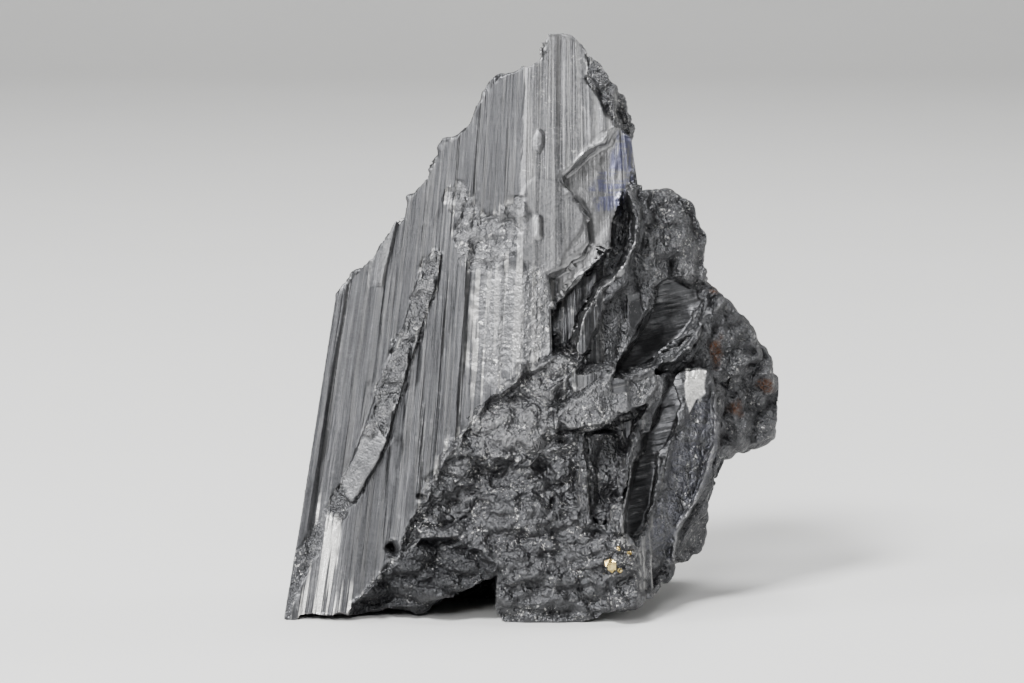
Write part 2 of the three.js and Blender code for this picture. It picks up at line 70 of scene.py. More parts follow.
LEAN = math.radians(8)  # how far the crystal leans back as it stands
FRONT_ORIGIN = np.array([-0.261, -7.820, 0.149])  # mm, in the row frame
TO_ROW = np.array(Matrix.Rotation(-LEAN, 3, "X"))
APEX = (1.5, 9.4, 89.0)  # mm: the point that the striations converge on


def to_front(points):
    """Row-frame points in metres as front-frame points in millimetres."""
    return (points / MM - FRONT_ORIGIN) @ TO_ROW


def to_row(points):
    """Front-frame points in millimetres as row-frame points in metres."""
    return (points @ TO_ROW.T + FRONT_ORIGIN) * MM


# ---------- Camera ----------

PICTURE_WIDTH = 52.0  # mm seen across the picture, at the crystal
LENS = 150.0  # mm, on a sensor 36 mm wide
SENSOR = 36.0
AIM = np.array([-0.91, 3.0, 14.25])  # front frame: the middle of the picture


def add_camera():
    data = bpy.data.cameras.new("camera")
    data.lens = LENS
    data.sensor_width = SENSOR
    data.clip_start = 0.01
    camera = bpy.data.objects.new("camera", data)
    distance = PICTURE_WIDTH * LENS / SENSOR
    camera.location = to_row(AIM - np.array([0.0, distance, 0.0]))
    camera.rotation_euler = (math.radians(90) - LEAN, 0.0, 0.0)
    bpy.context.collection.objects.link(camera)
    bpy.context.scene.camera = camera


add_camera()

# ---------- Noise ----------


def hashed(i, j, k, seed):
    """Repeatable numbers from 0 to 1 for whole-number coordinates."""
    h = (i.astype(np.int64) * 374761393 + j.astype(np.int64) * 668265263) & 0xFFFFFFFF
    h = (h + k.astype(np.int64) * 2246822519 + seed * 3266489917) & 0xFFFFFFFF
    h = ((h ^ (h >> 15)) * 2246822519) & 0xFFFFFFFF
    h = ((h ^ (h >> 13)) * 3266489917) & 0xFFFFFFFF
    return (h ^ (h >> 16)) / 0xFFFFFFFF


def noise(x, y, z, seed=0):
    """Smooth noise from -1 to 1 with one bump per unit of length."""
    i, j, k = (np.floor(c) for c in (x, y, z))
    u, v, w = (c - f for c, f in ((x, i), (y, j), (z, k)))
    u, v, w = (t * t * (3 - 2 * t) for t in (u, v, w))

    def row(b, c):
        left = hashed(i, j + b, k + c, seed)
        return left + u * (hashed(i + 1, j + b, k + c, seed) - left)

    near = row(0, 0) + v * (row(1, 0) - row(0, 0))
    far = row(0, 1) + v * (row(1, 1) - row(0, 1))
    return 2 * (near + w * (far - near)) - 1


TURN = ((0.36, 0.48, -0.8), (-0.8, 0.6, 0.0), (0.48, 0.64, 0.6))  # a rotation about a slanted axis


def fractal(x, y, z, octaves, seed=0, ridged=False):
    """Layers of noise, each turned, twice as fine and half as high. Ridged noise has sharp crests."""
    total = np.zeros_like(x)
    for octave in range(octaves):
        x, y, z = (a * x + b * y + c * z for a, b, c in TURN)
        layer = noise(x, y, z, seed + 17 * octave)
        total += (0.6 - 2 * np.abs(layer) if ridged else layer) / 2.0**octave
        x, y, z = 2 * x, 2 * y, 2 * z
    return total


SEED_ROOM = (0.2, 0.8)  # the part of its cell in which the middle of a face may lie
DOME = 0.9  # how strongly a face is held near its middle


def facets(x, y, z, size, tilt, seed=0):
    """Small faces at random tilts that meet in creases, as crystal grains have."""
    home = np.floor(np.stack([x, y, z]) / size).astype(int)
    first = home.min(axis=1) - 1
    counts = home.max(axis=1) - first + 2
    cells = np.indices(counts).reshape(3, -1) + first[:, None]
    drawn = np.stack([hashed(*cells, seed + n) for n in range(7)])
    middles = (cells + SEED_ROOM[0] + (SEED_ROOM[1] - SEED_ROOM[0]) * drawn[:3]) * size
    slopes = tilt * (2 * drawn[3:6] - 1)
    dome = DOME * tilt / size
    levels = 0.5 * tilt * size * drawn[6] - (slopes * middles + dome * middles**2).sum(axis=0)
    a, b, c = slopes + 2 * dome * middles
    height = np.full_like(x, -np.inf)
    for step in np.ndindex(3, 3, 3):
        cell = np.ravel_multi_index(home + (np.array(step) - 1 - first)[:, None], counts)
        height = np.maximum(height, levels[cell] + a[cell] * x + b[cell] * y + c[cell] * z)
    return height - dome * (x * x + y * y + z * z)


def smoothstep(low, high, t):
    t = np.clip((t - low) / (high - low), 0, 1)
    return t * t * (3 - 2 * t)


# ---------- Outlines and lines on the front ----------


def segment_distance(x, z, a, b):
    """Distance of each point from the segment a-b."""
    dx, dz = b[0] - a[0], b[1] - a[1]
    t = np.clip(((x - a[0]) * dx + (z - a[1]) * dz) / (dx * dx + dz * dz), 0, 1)
    return np.hypot(x - a[0] - t * dx, z - a[1] - t * dz)


def depth_inside(outline, x, z):
    """Distance from an outline's edge: positive inside it, negative outside."""
    distance = np.full_like(x, np.inf)
    inside = np.zeros(x.shape, bool)
    for a, b in zip(outline, outline[1:] + outline[:1]):
        distance = np.minimum(distance, segment_distance(x, z, a, b))
        crosses = (a[1] > z) != (b[1] > z)
        level = a[0] + (z - a[1]) * (b[0] - a[0]) / ((b[1] - a[1]) or 1e-9)
        inside ^= crosses & (x < level)
    return np.where(inside, distance, -distance)


def line_distance(line, x, z):
    """Signed distance from a line: positive on its right as it is walked from first to last point."""
    best = np.full_like(x, np.inf)
    side = np.ones_like(x)
    for a, b in zip(line, line[1:]):
        distance = segment_distance(x, z, a, b)
        cross = (b[1] - a[1]) * (x - a[0]) - (b[0] - a[0]) * (z - a[1])
        nearer = distance < best - 1e-9
        best = np.where(nearer, distance, best)
        side = np.where(nearer, np.where(cross >= 0, 1.0, -1.0), side)
    return best * side


def near_box(points, x, z, margin):
    """Indices of the points that lie in the box of an outline or line, with a margin round it."""
    low_x, low_z = (min(p[n] for p in points) - margin for n in (0, 1))
    high_x, high_z = (max(p[n] for p in points) + margin for n in (0, 1))
    return np.flatnonzero((x > low_x) & (x < high_x) & (z > low_z) & (z < high_z))


# ---------- Relief ----------
# Each function gives a height in millimetres for points in the front frame.


def fan(x, z):
    """The striations' own coordinate: it stays the same all along each striation."""
    return APEX[0] + (x - APEX[0]) / (1 - z / APEX[2])


def ribs(s, z, width, seed):
    """Flat ribs of uneven width with sharp risers between them, from -1 to 1, that drift along z."""
    place = s / width + 0.6 * noise(s * 0.45 / width, 0 * s, z * 0.05, seed)
    rib = np.floor(place)
    heights = [noise(7.3 * (rib + n), 0 * s, z * 0.11, seed + 1) for n in (0, 1)]
    return heights[0] + smoothstep(0.7, 1.0, place - rib) * (heights[1] - heights[0])


def striations(x, y, z):
    """Long ribs and grooves that run up the crystal and die out here and there."""
    s = fan(x, z) + 0.4 * y
    strength = 0.8 + 0.5 * noise(s * 0.5, y * 0.3, z * 0.14, 3)
    chips = -0.04 * smoothstep(0.5, 0.8, noise(s * 2.2, y, z * 0.35, 11))
    return 0.06 * ribs(s, z, 0.9, 9) + 0.045 * strength * ribs(s, z, 0.36, 5) + chips


def faint_striations(x, y, z):
    """Hardly raised striations, for the smoother front face."""
    s = fan(x, z)
    return 0.015 * ribs(s, z, 0.45, 13) + 0.02 * noise(x * 0.8, y, z * 0.4, 17)


def fracture(x, y, z):
    """A hackly break: flat faces of several sizes, with crests on them."""
    faces = facets(x, y, z, 2.0, 0.35, 21) + facets(x, y, z, 0.8, 0.5, 25)
    return faces + 0.06 * fractal(x * 1.4, y * 1.4, z * 1.8, 2, 23, ridged=True) - 0.3


def layered_break(x, y, z):
    """The break below the rim: thin ledges, almost level, that bend and end, with faces on them."""
    bend = 0.7 * noise(x * 0.4, y * 0.5, z * 0.4, 27) + 0.25 * noise(x * 1.3, y * 1.3, z * 1.3, 28)
    across = z - 0.3 * x + bend
    ledges = 0.2 * ribs(across, 3 * x, 0.9, 31) + 0.06 * ribs(across, 6 * x, 0.35, 33)
    faces = facets(x, y, z * 1.3, 1.4, 0.45, 30) + facets(x, y, z * 1.3, 0.55, 0.7, 32)
    return faces + ledges + 0.05 * fractal(x * 1.5, y * 1.5, z * 2.2, 2, 37, ridged=True) - 0.34


def knobbly(x, y, z):
    """Small knobs with bright faces."""
    knobs = 0.10 * fractal(x * 0.7, y * 0.7, z * 0.9, 2, 41, ridged=True)
    faces = facets(x, y, z, 1.1, 0.75, 43) + facets(x, y, z, 0.5, 0.6, 44)
    return knobs + faces - 0.3


def curled_layers(x, y, z):
    """Thin curved layers, seen on edge."""
    across = z - 0.22 * x + 0.35 * noise(x * 0.6, y, z * 0.6, 45)
    layers = 0.22 * ribs(across, x, 0.6, 47) + 0.07 * ribs(across, x, 0.22, 49)
    faces = facets(x, y, z * 1.8, 1.2, 0.8, 48)
    return layers + faces + 0.07 * fractal(x * 1.2, y * 1.2, z * 2.8, 2, 49, ridged=True) - 0.3


UNDER_SHELF_RISE = 1.1  # mm by which the ground below the shelf is raised at its edges


def ground_under_shelf(x, y, z):
    """The ground of the hollow below the shelf, which rises to its left and lower edges."""
    rise = np.maximum(smoothstep(4.8, 2.7, x), smoothstep(7.0, 4.9, z)) * smoothstep(1.5, 2.3, y)
    return knobbly(x, y, z) + UNDER_SHELF_RISE * rise


def crumbs(x, y, z):
    """Crumpled ledges that slant down to the right."""
    across = z + 0.5 * x + 0.8 * noise(x * 0.8, y, z * 0.8, 50)
    ledges = 0.08 * ribs(across, 3 * x, 0.9, 51) + 0.04 * ribs(across, 5 * x, 0.35, 52)
    return ledges + facets(x, y, z, 0.9, 0.35, 53) + facets(x, y, z, 0.45, 0.3, 54) - 0.1


def speckles(x, y, z):
    """Nearly smooth, with fine level scratches and pits."""
    pits = -0.04 * smoothstep(0.5, 0.7, noise(x * 2.6, y, z * 3.4, 55))
    scratches = 0.006 * ribs(z - 0.1 * x + 0.2 * noise(x, y, z, 56), 3 * x, 0.5, 57)
    return 0.03 * fractal(x * 0.6, y, z * 0.8, 3, 59) + pits + scratches


def vein(x, y, z):
    """The lumpy filling of the vein."""
    lumps = 0.04 * fractal(x * 1.4, y, z * 1.1, 2, 61)
    lumps += 0.05 * fractal(x * 2.4, y, z * 2.4, 2, 62, ridged=True)
    return lumps + facets(x, y, z, 0.9, 0.5, 64) + facets(x, y, z, 0.4, 0.6, 63) - 0.15


def vein_plate(x, y, z):
    """The smooth lower part of the vein, which rises to its right edge."""
    return 0.06 + 0.08 * (x + 8.3) + 0.012 * fractal(x * 2, y, z * 2, 3, 65)


def vein_foot(x, y, z):
    """The crumbly end of the vein at the lower left."""
    return 0.03 * fractal(x * 2.4, y, z * 1.6, 2, 67) + facets(x, y, z, 0.4, 0.4, 69) - 0.05


def smooth_plate(x, y, z):
    """Barely wavy, for the bright plates."""
    return 0.03 * noise(x * 0.7, y * 0.5, z * 0.7, 71) + 0.008 * fractal(x * 2.5, y, z * 1.8, 3, 73)


def pitted_shelf(x, y, z):
    """Low flat grains with small pits."""
    pits = -0.06 * smoothstep(0.4, 0.6, noise(x * 3.0, y, z * 3.0, 81))
    return facets(x, y, z, 1.5, 0.25, 85) + facets(x, y, z, 0.5, 0.4, 83) + pits - 0.12


def hackles(x, y, z):
    """Fine steps that cross a hollow almost level, rising a little to the right."""
    across = z - 0.2 * x + 0.15 * noise(x * 0.5, y * 0.5, z * 0.5, 91)
    return 0.05 * ribs(across, x, 0.6, 93) + 0.04 * ribs(across, x, 0.28, 95)


def granular(x, y, z):
    """Intergrown grains with flat faces."""
    crests = 0.04 * fractal(x * 2.1, y * 2.1, z * 2.1, 2, 102, ridged=True)
    return crests + facets(x, y, z, 1.2, 0.8, 101) + facets(x, y, z, 0.5, 0.6, 103) - 0.3


def upright_facets(x, y, z):
    """Long flat facets that stand upright, for the ground between the ridges."""
    facings = facets(x * 1.6, y, z * 0.7 + 0.4 * x, 0.9, 0.4, 111) + facets(x, y, z, 0.5, 0.4, 112)
    return facings + 0.05 * fractal(x * 1.6, y, z * 0.5, 3, 113, ridged=True) - 0.15


def bubbly(x, y, z):
    """The flank's skin: shallow dimples and low knobs."""
    return 0.04 * fractal(x * 1.4, y * 1.4, z * 1.2, 3, 115) + facets(x, y, z, 0.45, 0.5, 117) - 0.05


def flat(x, y, z):
    """As good as smooth."""
    return 0.008 * noise(x * 2, y * 2, z * 2, 121)


# ---------- Finish ----------
# What the material is told about each point, from 0 to 1. A tone above 1 is a painted highlight, almost
# white.

FINISH = (
    "tone",  # from dark to bright steel: partly the steel's own shade, partly painted light and shade
    "gloss",  # from dull to bright lustre
    "streaks",  # how strongly the colour and gloss follow the striations
    "tarnish",  # blue-violet film
    "rust",  # brown stain
    "glint",  # how much painted glint: small faces painted bright as if they shone
    "grain",  # how rough the finest grain is
)
TONE, GLOSS, RUST, GRAIN = (FINISH.index(name) for name in ("tone", "gloss", "rust", "grain"))


def finish_of(tone=0.4, gloss=0.5, streaks=0.0, tarnish=0.0, rust=0.0, glint=0.2, grain=0.3):
    return np.array([tone, gloss, streaks, tarnish, rust, glint, grain])


STRIATED_OUTLINE = [
    (-14.5, -1.5), (-14.0, 5.0), (-12.0, 15.0), (-11.5, 20.0), (-7.0, 24.0), (-3.0, 30.0),
    (-0.1, 31.0), (-0.3, 26.0), (-0.5, 23.5), (-0.8, 21.4), (-1.3, 20.7), (-3.0, 20.7),
    (-3.8, 19.7), (-3.8, 18.3), (-2.6, 17.6), (-2.6, 14.8), (-2.9, 12.3), (-2.9, 10.6),
    (-3.6, 9.7), (-4.6, 7.7), (-6.0, 5.2), (-7.4, 2.4), (-9.1, 0.3), (-10.0, -1.5),
]
PRISM_END = (7.2, 6.2)  # mm: x over which the striated sides of the prism set in, from the right
RAGGED = ((0.16, 0.6), (0.05, 2.0))  # how far broken edges are swayed, in mm, and bumps per mm
STILL_INSET = 0.5  # mm inside the striated face's outline from which nothing sways
FOOT_BLEND = (0.02, 0.5)  # mm above the floor over which the relief sets in, so that the feet stay flat


def lengthwise(points, normals):
    """Where the surface runs along the striations, as the prism's sides do, from 0 to 1."""
    towards = np.array(APEX) - points
    towards /= np.linalg.norm(towards, axis=1, keepdims=True)
    return 1 - smoothstep(0.18, 0.4, np.abs((normals * towards).sum(axis=1)))


def above_feet(points):
    """How much of the relief points at this height above the floor get, from 0 to 1."""
    return smoothstep(*FOOT_BLEND, to_row(points)[:, 2] / MM)


def sway(points, normals):
    """How far each point is moved aside to make straight broken edges ragged."""
    x, y, z = points.T
    striated = depth_inside(STRIATED_OUTLINE, x, z) * (normals[:, 1] < -0.1)
    prism_side = lengthwise(points, normals) * smoothstep(*PRISM_END, x)
    loose = 1 - np.maximum(smoothstep(0, STILL_INSET, striated), prism_side)
    loose *= above_feet(points)
    moved = np.zeros_like(points)
    for axis in range(3):
        for seed, (far, bumps) in enumerate(RAGGED):
            moved[:, axis] += far * noise(x * bumps, y * bumps, z * bumps, 161 + 2 * axis + seed)
    return moved * loose[:, None]


LEAST_COVER = 0.002  # a layer thinner than this is left out


class Skin:
    """Height and finish of a set of points, laid down one layer after another."""

    def __init__(self, points, normals):
        self.x, self.y, self.z = (points - sway(points, normals)).T
        self.facing = smoothstep(0.1, 0.5, -normals[:, 1])
        self.lengthwise = lengthwise(points, normals)
        self.level = np.zeros(len(points), bool)  # where the streaks run almost level
        self.height = fracture(self.x, self.y, self.z)
        self.finish = np.tile(finish_of(tone=0.3, gloss=0.6, glint=0.4, grain=1.0), (len(points), 1))

    def lay(self, where, cover, relief, finish, raised=0.0):
        """Blends a relief and a finish in at some of the points."""
        keep = cover > LEAST_COVER
        where, cover = where[keep], cover[keep]
        height = relief(self.x[where], self.y[where], self.z[where]) + raised
        self.height[where] += cover * (height - self.height[where])
        self.finish[where] += cover[:, None] * (finish - self.finish[where])


# Areas of the front with a relief and finish of their own. Their tones are partly painted light and shade:
# lit faces are set brighter and shaded ones darker. The outlines are [x, z] points.


class Area:
    def __init__(self, outline, relief, edge=0.12, wander=0.12, raised=0.0, level=False, **finish):
        self.outline = outline
        self.level = level  # whether its streaks run almost level
        self.relief = relief
        self.finish = finish_of(**finish)
        self.edge = edge  # half the width over which it fades out
        self.wander = wander  # how far its edge strays from the outline
        self.raised = raised

    def lay_on(self, skin):
        where = near_box(self.outline, skin.x, skin.z, self.edge + self.wander)
        x, z = skin.x[where], skin.z[where]
        inside = depth_inside(self.outline, x, z) + self.wander * fractal(x * 1.7, 0 * x, z * 1.7, 2, 131)
        cover = smoothstep(-self.edge, self.edge, inside) * skin.facing[where]
        skin.lay(where, cover, self.relief, self.finish, self.raised)
        skin.level[where[cover > 0.5]] = self.level


AREAS = {
    "striated face": Area(
        STRIATED_OUTLINE,
        striations, edge=0.2, wander=0.3, tone=0.36, gloss=0.6, streaks=1.0, glint=0.03, grain=0.02,
    ),
    "front face": Area(
        [
            (-0.2, 31.0), (2.6, 31.0), (3.3, 28.2), (4.0, 27.0), (4.4, 25.2), (3.6, 24.1), (2.3, 23.3),
            (1.5, 22.9), (1.5, 22.4), (2.0, 21.8), (2.8, 21.3), (2.8, 20.7), (2.5, 19.8), (1.9, 19.4),
            (1.8, 18.6), (1.5, 17.8), (0.6, 17.4), (-0.1, 17.9), (-0.6, 18.9), (-0.7, 20.2),
            (-0.5, 21.9), (-0.4, 24.5), (-0.3, 26.5),
        ],
        faint_striations, edge=0.06, wander=0.05, tone=0.6, gloss=0.6, streaks=0.3, glint=0.3, grain=0.02,
    ),
    "lower panel": Area(
        [
            (-0.5, 21.8), (-0.2, 22.2), (0.5, 22.6), (1.3, 22.4), (2.0, 21.9), (3.1, 21.4), (3.1, 20.7),
            (2.8, 19.6), (2.2, 19.2), (2.1, 18.4), (1.6, 17.6), (0.6, 17.3), (0.1, 17.8), (-0.4, 18.4),
            (-0.6, 19.1), (-0.7, 20.4),
        ],
        faint_striations, edge=0.05, wander=0.08, raised=0.03, tone=0.62, gloss=0.55, streaks=0.2,
        grain=0.03,
    ),
    "smooth slab": Area(
        [
            (-7.7, 21.3), (-7.1, 21.9), (-6.6, 21.7), (-6.7, 20.5), (-7.1, 18.7), (-7.5, 17.1),
            (-8.2, 17.0), (-8.3, 18.9), (-8.2, 20.2),
        ],
        flat, edge=0.06, wander=0.05, raised=0.1, tone=0.5, gloss=0.6, streaks=0.2, grain=0.03,
    ),
    "crumbled patch": Area(
        [
            (-3.9, 22.7), (-3.4, 22.3), (-2.9, 21.4), (-2.1, 20.8), (-1.2, 21.5), (-0.4, 21.6),
            (-0.5, 20.2), (-0.8, 18.9), (-1.3, 18.0), (-2.0, 17.4), (-3.0, 17.8), (-3.5, 18.6),
            (-3.9, 19.7), (-3.7, 20.6), (-4.1, 21.4),
        ],
        crumbs, edge=0.25, wander=0.35, tone=0.55, gloss=0.65, glint=0.8, grain=0.35,
    ),
    "speckled plate": Area(
        [
            (-2.6, 17.6), (-1.3, 18.3), (0.0, 18.0), (1.1, 17.3), (1.5, 16.4), (1.3, 14.3), (1.1, 13.7),
            (0.0, 13.0), (-1.3, 12.0), (-2.3, 11.2), (-2.8, 11.6), (-2.9, 14.3),
        ],
        speckles, edge=0.6, wander=0.5, tone=0.58, gloss=0.6, streaks=0.1, glint=1.0, grain=0.15,
    ),
    "lower lozenge": Area(
        [(0.22, 20.45), (0.4, 20.65), (0.58, 20.45), (0.58, 19.55), (0.45, 19.4), (0.22, 19.5)],
        flat, edge=0.03, wander=0.0, raised=0.16, tone=0.8, gloss=0.65, grain=0.05,
    ),
    "upper lozenge": Area(
        [(0.25, 24.6), (0.45, 25.0), (0.68, 24.8), (0.68, 24.2), (0.45, 23.8), (0.25, 24.1)],
        flat, edge=0.03, wander=0.0, raised=0.05, tone=0.66, gloss=0.6, grain=0.05,
    ),
    "vein": Area(
        [
            (-5.4, 18.3), (-4.9, 18.9), (-4.6, 18.8), (-4.7, 17.6), (-4.9, 16.4), (-5.4, 15.2),
            (-5.9, 14.1), (-6.2, 12.7), (-6.7, 11.5), (-7.1, 10.4), (-7.4, 9.3), (-8.1, 9.0),
            (-8.5, 9.0), (-8.3, 10.0), (-7.9, 11.3), (-7.5, 12.4), (-7.0, 13.7), (-6.5, 14.8),
            (-6.0, 16.4), (-5.7, 17.4),
        ],
        vein, edge=0.1, wander=0.24, raised=0.06, tone=0.54, gloss=0.55, glint=0.6, grain=0.6,
    ),
    "vein plate": Area(
        [
            (-7.2, 9.3), (-7.6, 8.3), (-8.4, 7.0), (-9.0, 6.1), (-9.5, 6.0), (-9.5, 6.9), (-8.6, 8.9),
            (-8.4, 9.5), (-8.0, 9.2), (-7.6, 9.7),
        ],
        vein_plate, edge=0.05, wander=0.12, raised=0.06, tone=0.56, gloss=0.5, grain=0.12,
    ),
    "vein foot": Area(
        [
            (-9.6, 6.9), (-9.0, 6.1), (-9.4, 5.4), (-10.2, 4.5), (-10.9, 3.2), (-11.6, 1.9),
            (-12.2, 0.4), (-12.8, 0.6), (-12.5, 2.4), (-11.6, 3.9), (-10.8, 5.3), (-10.2, 6.2),
        ],
        vein_foot, tone=0.4, gloss=0.6, glint=0.8, grain=0.6,
    ),
    # Painted glints: bright bars along the striations, painted as if they caught the light.
    "foot with painted glints": Area(
        [
            (-11.9, 0.0), (-11.3, 2.2), (-10.4, 3.9), (-10.9, 5.8), (-10.6, 6.3), (-9.9, 5.2),
            (-9.5, 3.0), (-8.9, 0.6), (-9.8, 0.0),
        ],
        striations, edge=0.35, wander=0.3, tone=0.5, gloss=0.62, streaks=1.0, glint=1.0, grain=0.02,
    ),
    "plate below": Area(
        [
            (2.6, 24.0), (3.6, 24.9), (4.6, 25.2), (5.3, 23.3), (5.3, 21.9), (4.65, 21.2), (4.4, 20.5),
            (4.35, 19.4), (3.9, 18.7), (3.25, 18.3), (2.8, 17.7), (2.0, 16.7), (1.4, 16.2), (1.5, 17.8),
            (1.8, 18.7), (2.6, 19.9), (2.9, 20.9), (2.8, 21.3), (2.0, 21.9), (1.4, 22.5), (1.5, 23.0),
            (2.3, 23.4),
        ],
        smooth_plate, edge=0.05, wander=0.03, tone=0.8, gloss=0.7, streaks=0.2, grain=0.03,
    ),
    "plate corner": Area(
        [(3.2, 18.2), (3.3, 18.9), (4.0, 19.5), (4.5, 19.5), (4.2, 18.7), (3.6, 18.0)],
        flat, edge=0.15, wander=0.0, tone=0.6, gloss=0.7, grain=0.1,
    ),
    "tarnished plate": Area(
        [
            (3.0, 22.0), (3.3, 20.8), (4.6, 20.9), (4.9, 21.8), (5.4, 22.4), (5.4, 24.4), (4.6, 25.0),
            (4.0, 23.2), (3.4, 22.6),
        ],
        smooth_plate, edge=0.15, wander=0.2, tone=0.75, gloss=0.7, streaks=0.2, tarnish=1.0, grain=0.03,
    ),
    # Painted highlights: the knobs are set bright, with many painted glints.
    "knobbly break": Area(
        [
            (1.3, 14.7), (1.1, 13.7), (0.0, 12.9), (-2.1, 11.2), (-3.5, 9.7), (-4.6, 7.9), (-3.0, 8.0),
            (-0.6, 8.2), (1.6, 8.4), (1.3, 10.6), (1.6, 11.8), (2.3, 13.3),
        ],
        knobbly, edge=0.4, wander=0.5, raised=0.15, tone=0.55, gloss=0.75, glint=1.0, grain=0.6,
    ),
    "layered break": Area(
        [
            (-4.4, 8.0), (-6.0, 5.2), (-7.4, 2.4), (-9.1, 0.4), (-9.6, -2.0), (9.0, -2.0), (7.2, 3.1),
            (5.6, 3.9), (4.6, 4.6), (4.8, 6.8), (5.0, 8.6), (4.4, 9.7), (2.0, 9.6), (1.5, 8.6),
            (-0.6, 8.0), (-3.0, 8.0),
        ],
        layered_break, edge=0.25, wander=0.35, tone=0.4, gloss=0.7, glint=1.0, grain=0.5,
    ),
    "break beside the rim": Area(
        [
            (-3.4, 9.6), (-4.5, 7.6), (-5.9, 5.2), (-7.2, 2.6), (-6.3, 2.5), (-5.2, 4.6), (-4.0, 6.4),
            (-3.0, 7.6), (-2.4, 8.8),
        ],
        layered_break, edge=0.4, raised=0.35, tone=0.46, gloss=0.75, glint=1.0, grain=0.5,
    ),
    "ground under shelf": Area(
        [
            (2.5, 9.7), (2.4, 8.0), (2.5, 4.6), (3.3, 4.4), (4.6, 4.4), (4.8, 6.5), (4.95, 8.0), (4.7, 9.7),
        ],
        ground_under_shelf, edge=0.1, wander=0.05, tone=0.42, gloss=0.65, glint=0.7, grain=0.6,
    ),
    # Painted shade: the tongue's tone is set dark for the shade under its curled layers.
    "tongue": Area(
        [
            (-9.4, 0.3), (-8.4, 1.4), (-7.4, 2.2), (-6.3, 3.5), (-5.5, 4.3), (-3.8, 4.3), (-2.8, 3.8),
            (-1.6, 3.0), (-2.2, 1.2), (-4.6, 0.3), (-6.6, -0.5), (-9.4, -0.8),
        ],
        curled_layers, edge=0.08, raised=0.1, tone=0.16, gloss=0.6, glint=0.3, grain=0.6,
    ),
    "shelf": Area(
        [
            (1.3, 10.8), (2.3, 11.5), (3.0, 12.0), (3.6, 12.4), (4.2, 12.7), (4.8, 12.4), (5.6, 12.7),
            (6.4, 12.8), (7.0, 12.1), (6.7, 11.4), (6.1, 10.9), (5.6, 10.6), (4.7, 10.3), (4.4, 9.9),
            (3.0, 9.8), (1.8, 9.9),
        ],
        pitted_shelf, edge=0.1, wander=0.15, tone=0.54, gloss=0.6, glint=0.8, grain=0.5,
    ),
    "shelf notch": Area(
        [(4.1, 11.6), (4.05, 12.4), (4.95, 12.4), (5.0, 11.6)],
        hackles, edge=0.06, wander=0.05, raised=-0.1, level=True, tone=0.3, gloss=0.5, streaks=0.6,
        grain=0.02,
    ),
    "upper hollow": Area(
        [
            (6.4, 16.9), (6.6, 17.3), (7.1, 17.5), (7.8, 17.3), (8.5, 17.0), (8.9, 16.5), (8.6, 15.4),
            (8.2, 14.8), (7.7, 14.1), (7.0, 13.7), (6.3, 13.4), (5.6, 13.0), (4.7, 12.7), (4.0, 12.4),
            (4.4, 13.1), (4.9, 13.8), (5.6, 14.9), (6.2, 16.1),
        ],
        hackles, edge=0.08, wander=0.04, level=True, tone=0.44, gloss=0.55, streaks=1.0, glint=0.0,
        grain=0.02,
    ),
    "lower hollow": Area(
        [
            (8.1, 12.7), (8.1, 11.5), (7.9, 10.7), (7.4, 9.8), (7.0, 8.7), (6.8, 7.7), (6.6, 6.7),
            (6.3, 5.7), (5.8, 4.7), (5.6, 4.2), (5.0, 3.9), (4.7, 4.7), (4.9, 6.2), (5.1, 7.5),
            (5.4, 8.7), (5.8, 9.8), (6.3, 10.5), (7.0, 11.7), (7.1, 12.4),
        ],
        hackles, edge=0.08, wander=0.04, level=True, tone=0.44, gloss=0.55, streaks=1.0, glint=0.0,
        grain=0.02,
    ),
    "flank": Area(
        [
            (8.2, 11.3), (9.5, 11.4), (9.7, 8.6), (8.9, 6.8), (7.6, 5.0), (7.2, 3.0), (5.6, 3.9),
            (6.2, 4.9), (6.9, 6.9), (7.2, 8.6), (7.9, 10.2),
        ],
        bubbly, edge=0.15, wander=0.1, tone=0.48, gloss=0.65, glint=0.6, tarnish=0.12, grain=0.5,
    ),
    "thin rim": Area(
        [
            (7.0, 2.4), (7.6, 3.6), (8.5, 5.0), (9.3, 6.8), (10.0, 7.0), (9.8, 5.0), (9.0, 3.4), (8.0, 2.2),
        ],
        bubbly, raised=0.12, tone=0.3, gloss=0.55, glint=0.4, grain=0.5,
    ),
    "granular block": Area(
        [
            (5.8, 20.7), (6.4, 22.6), (9.8, 21.6), (9.8, 17.4), (8.6, 17.2), (7.6, 17.6), (6.6, 17.5),
            (6.1, 18.3),
        ],
        granular, tone=0.46, gloss=0.7, glint=0.9, grain=0.8,
    ),
    "shield facet": Area(
        [(4.85, 16.7), (5.6, 16.8), (5.75, 15.6), (5.3, 14.75), (5.0, 15.4)],
        flat, edge=0.05, wander=0.03, raised=0.1, tone=0.42, gloss=0.55, grain=0.03,
    ),
    # Painted highlight: a tone above 1 paints this facet almost white, as if it caught the light.
    "facet with painted highlight": Area(
        [(7.95, 12.9), (9.0, 12.8), (9.0, 11.7), (8.5, 11.3), (8.15, 10.5), (8.0, 11.5)],
        flat, edge=0.05, wander=0.04, raised=0.1, tone=1.4, gloss=0.75, glint=1.0, grain=0.3,
    ),
    "side crystal": Area(
        [(9.5, 15.0), (14.0, 15.0), (14.0, 8.0), (9.6, 8.0), (9.5, 11.0)],
        granular, tone=0.42, gloss=0.65, glint=0.6, grain=0.8,
    ),
    "summit crest": Area(
        [
            (2.6, 30.0), (3.2, 28.6), (2.9, 27.6), (3.6, 26.6), (4.0, 25.7), (4.5, 25.2), (6.5, 24.0),
            (6.5, 28.0), (4.0, 31.0),
        ],
        granular, edge=0.1, tone=0.5, gloss=0.8, glint=1.0, grain=1.0,
    ),
    # Painted shade: the pit's tone is set almost black for the shade inside it.
    "pit": Area(
        [(-7.4, 3.8), (-7.1, 4.3), (-6.7, 4.2), (-6.55, 3.7), (-6.8, 3.3), (-7.2, 3.4)],
        flat, edge=0.05, wander=0.05, tone=0.02, gloss=0.1, grain=0.0,
    ),
}
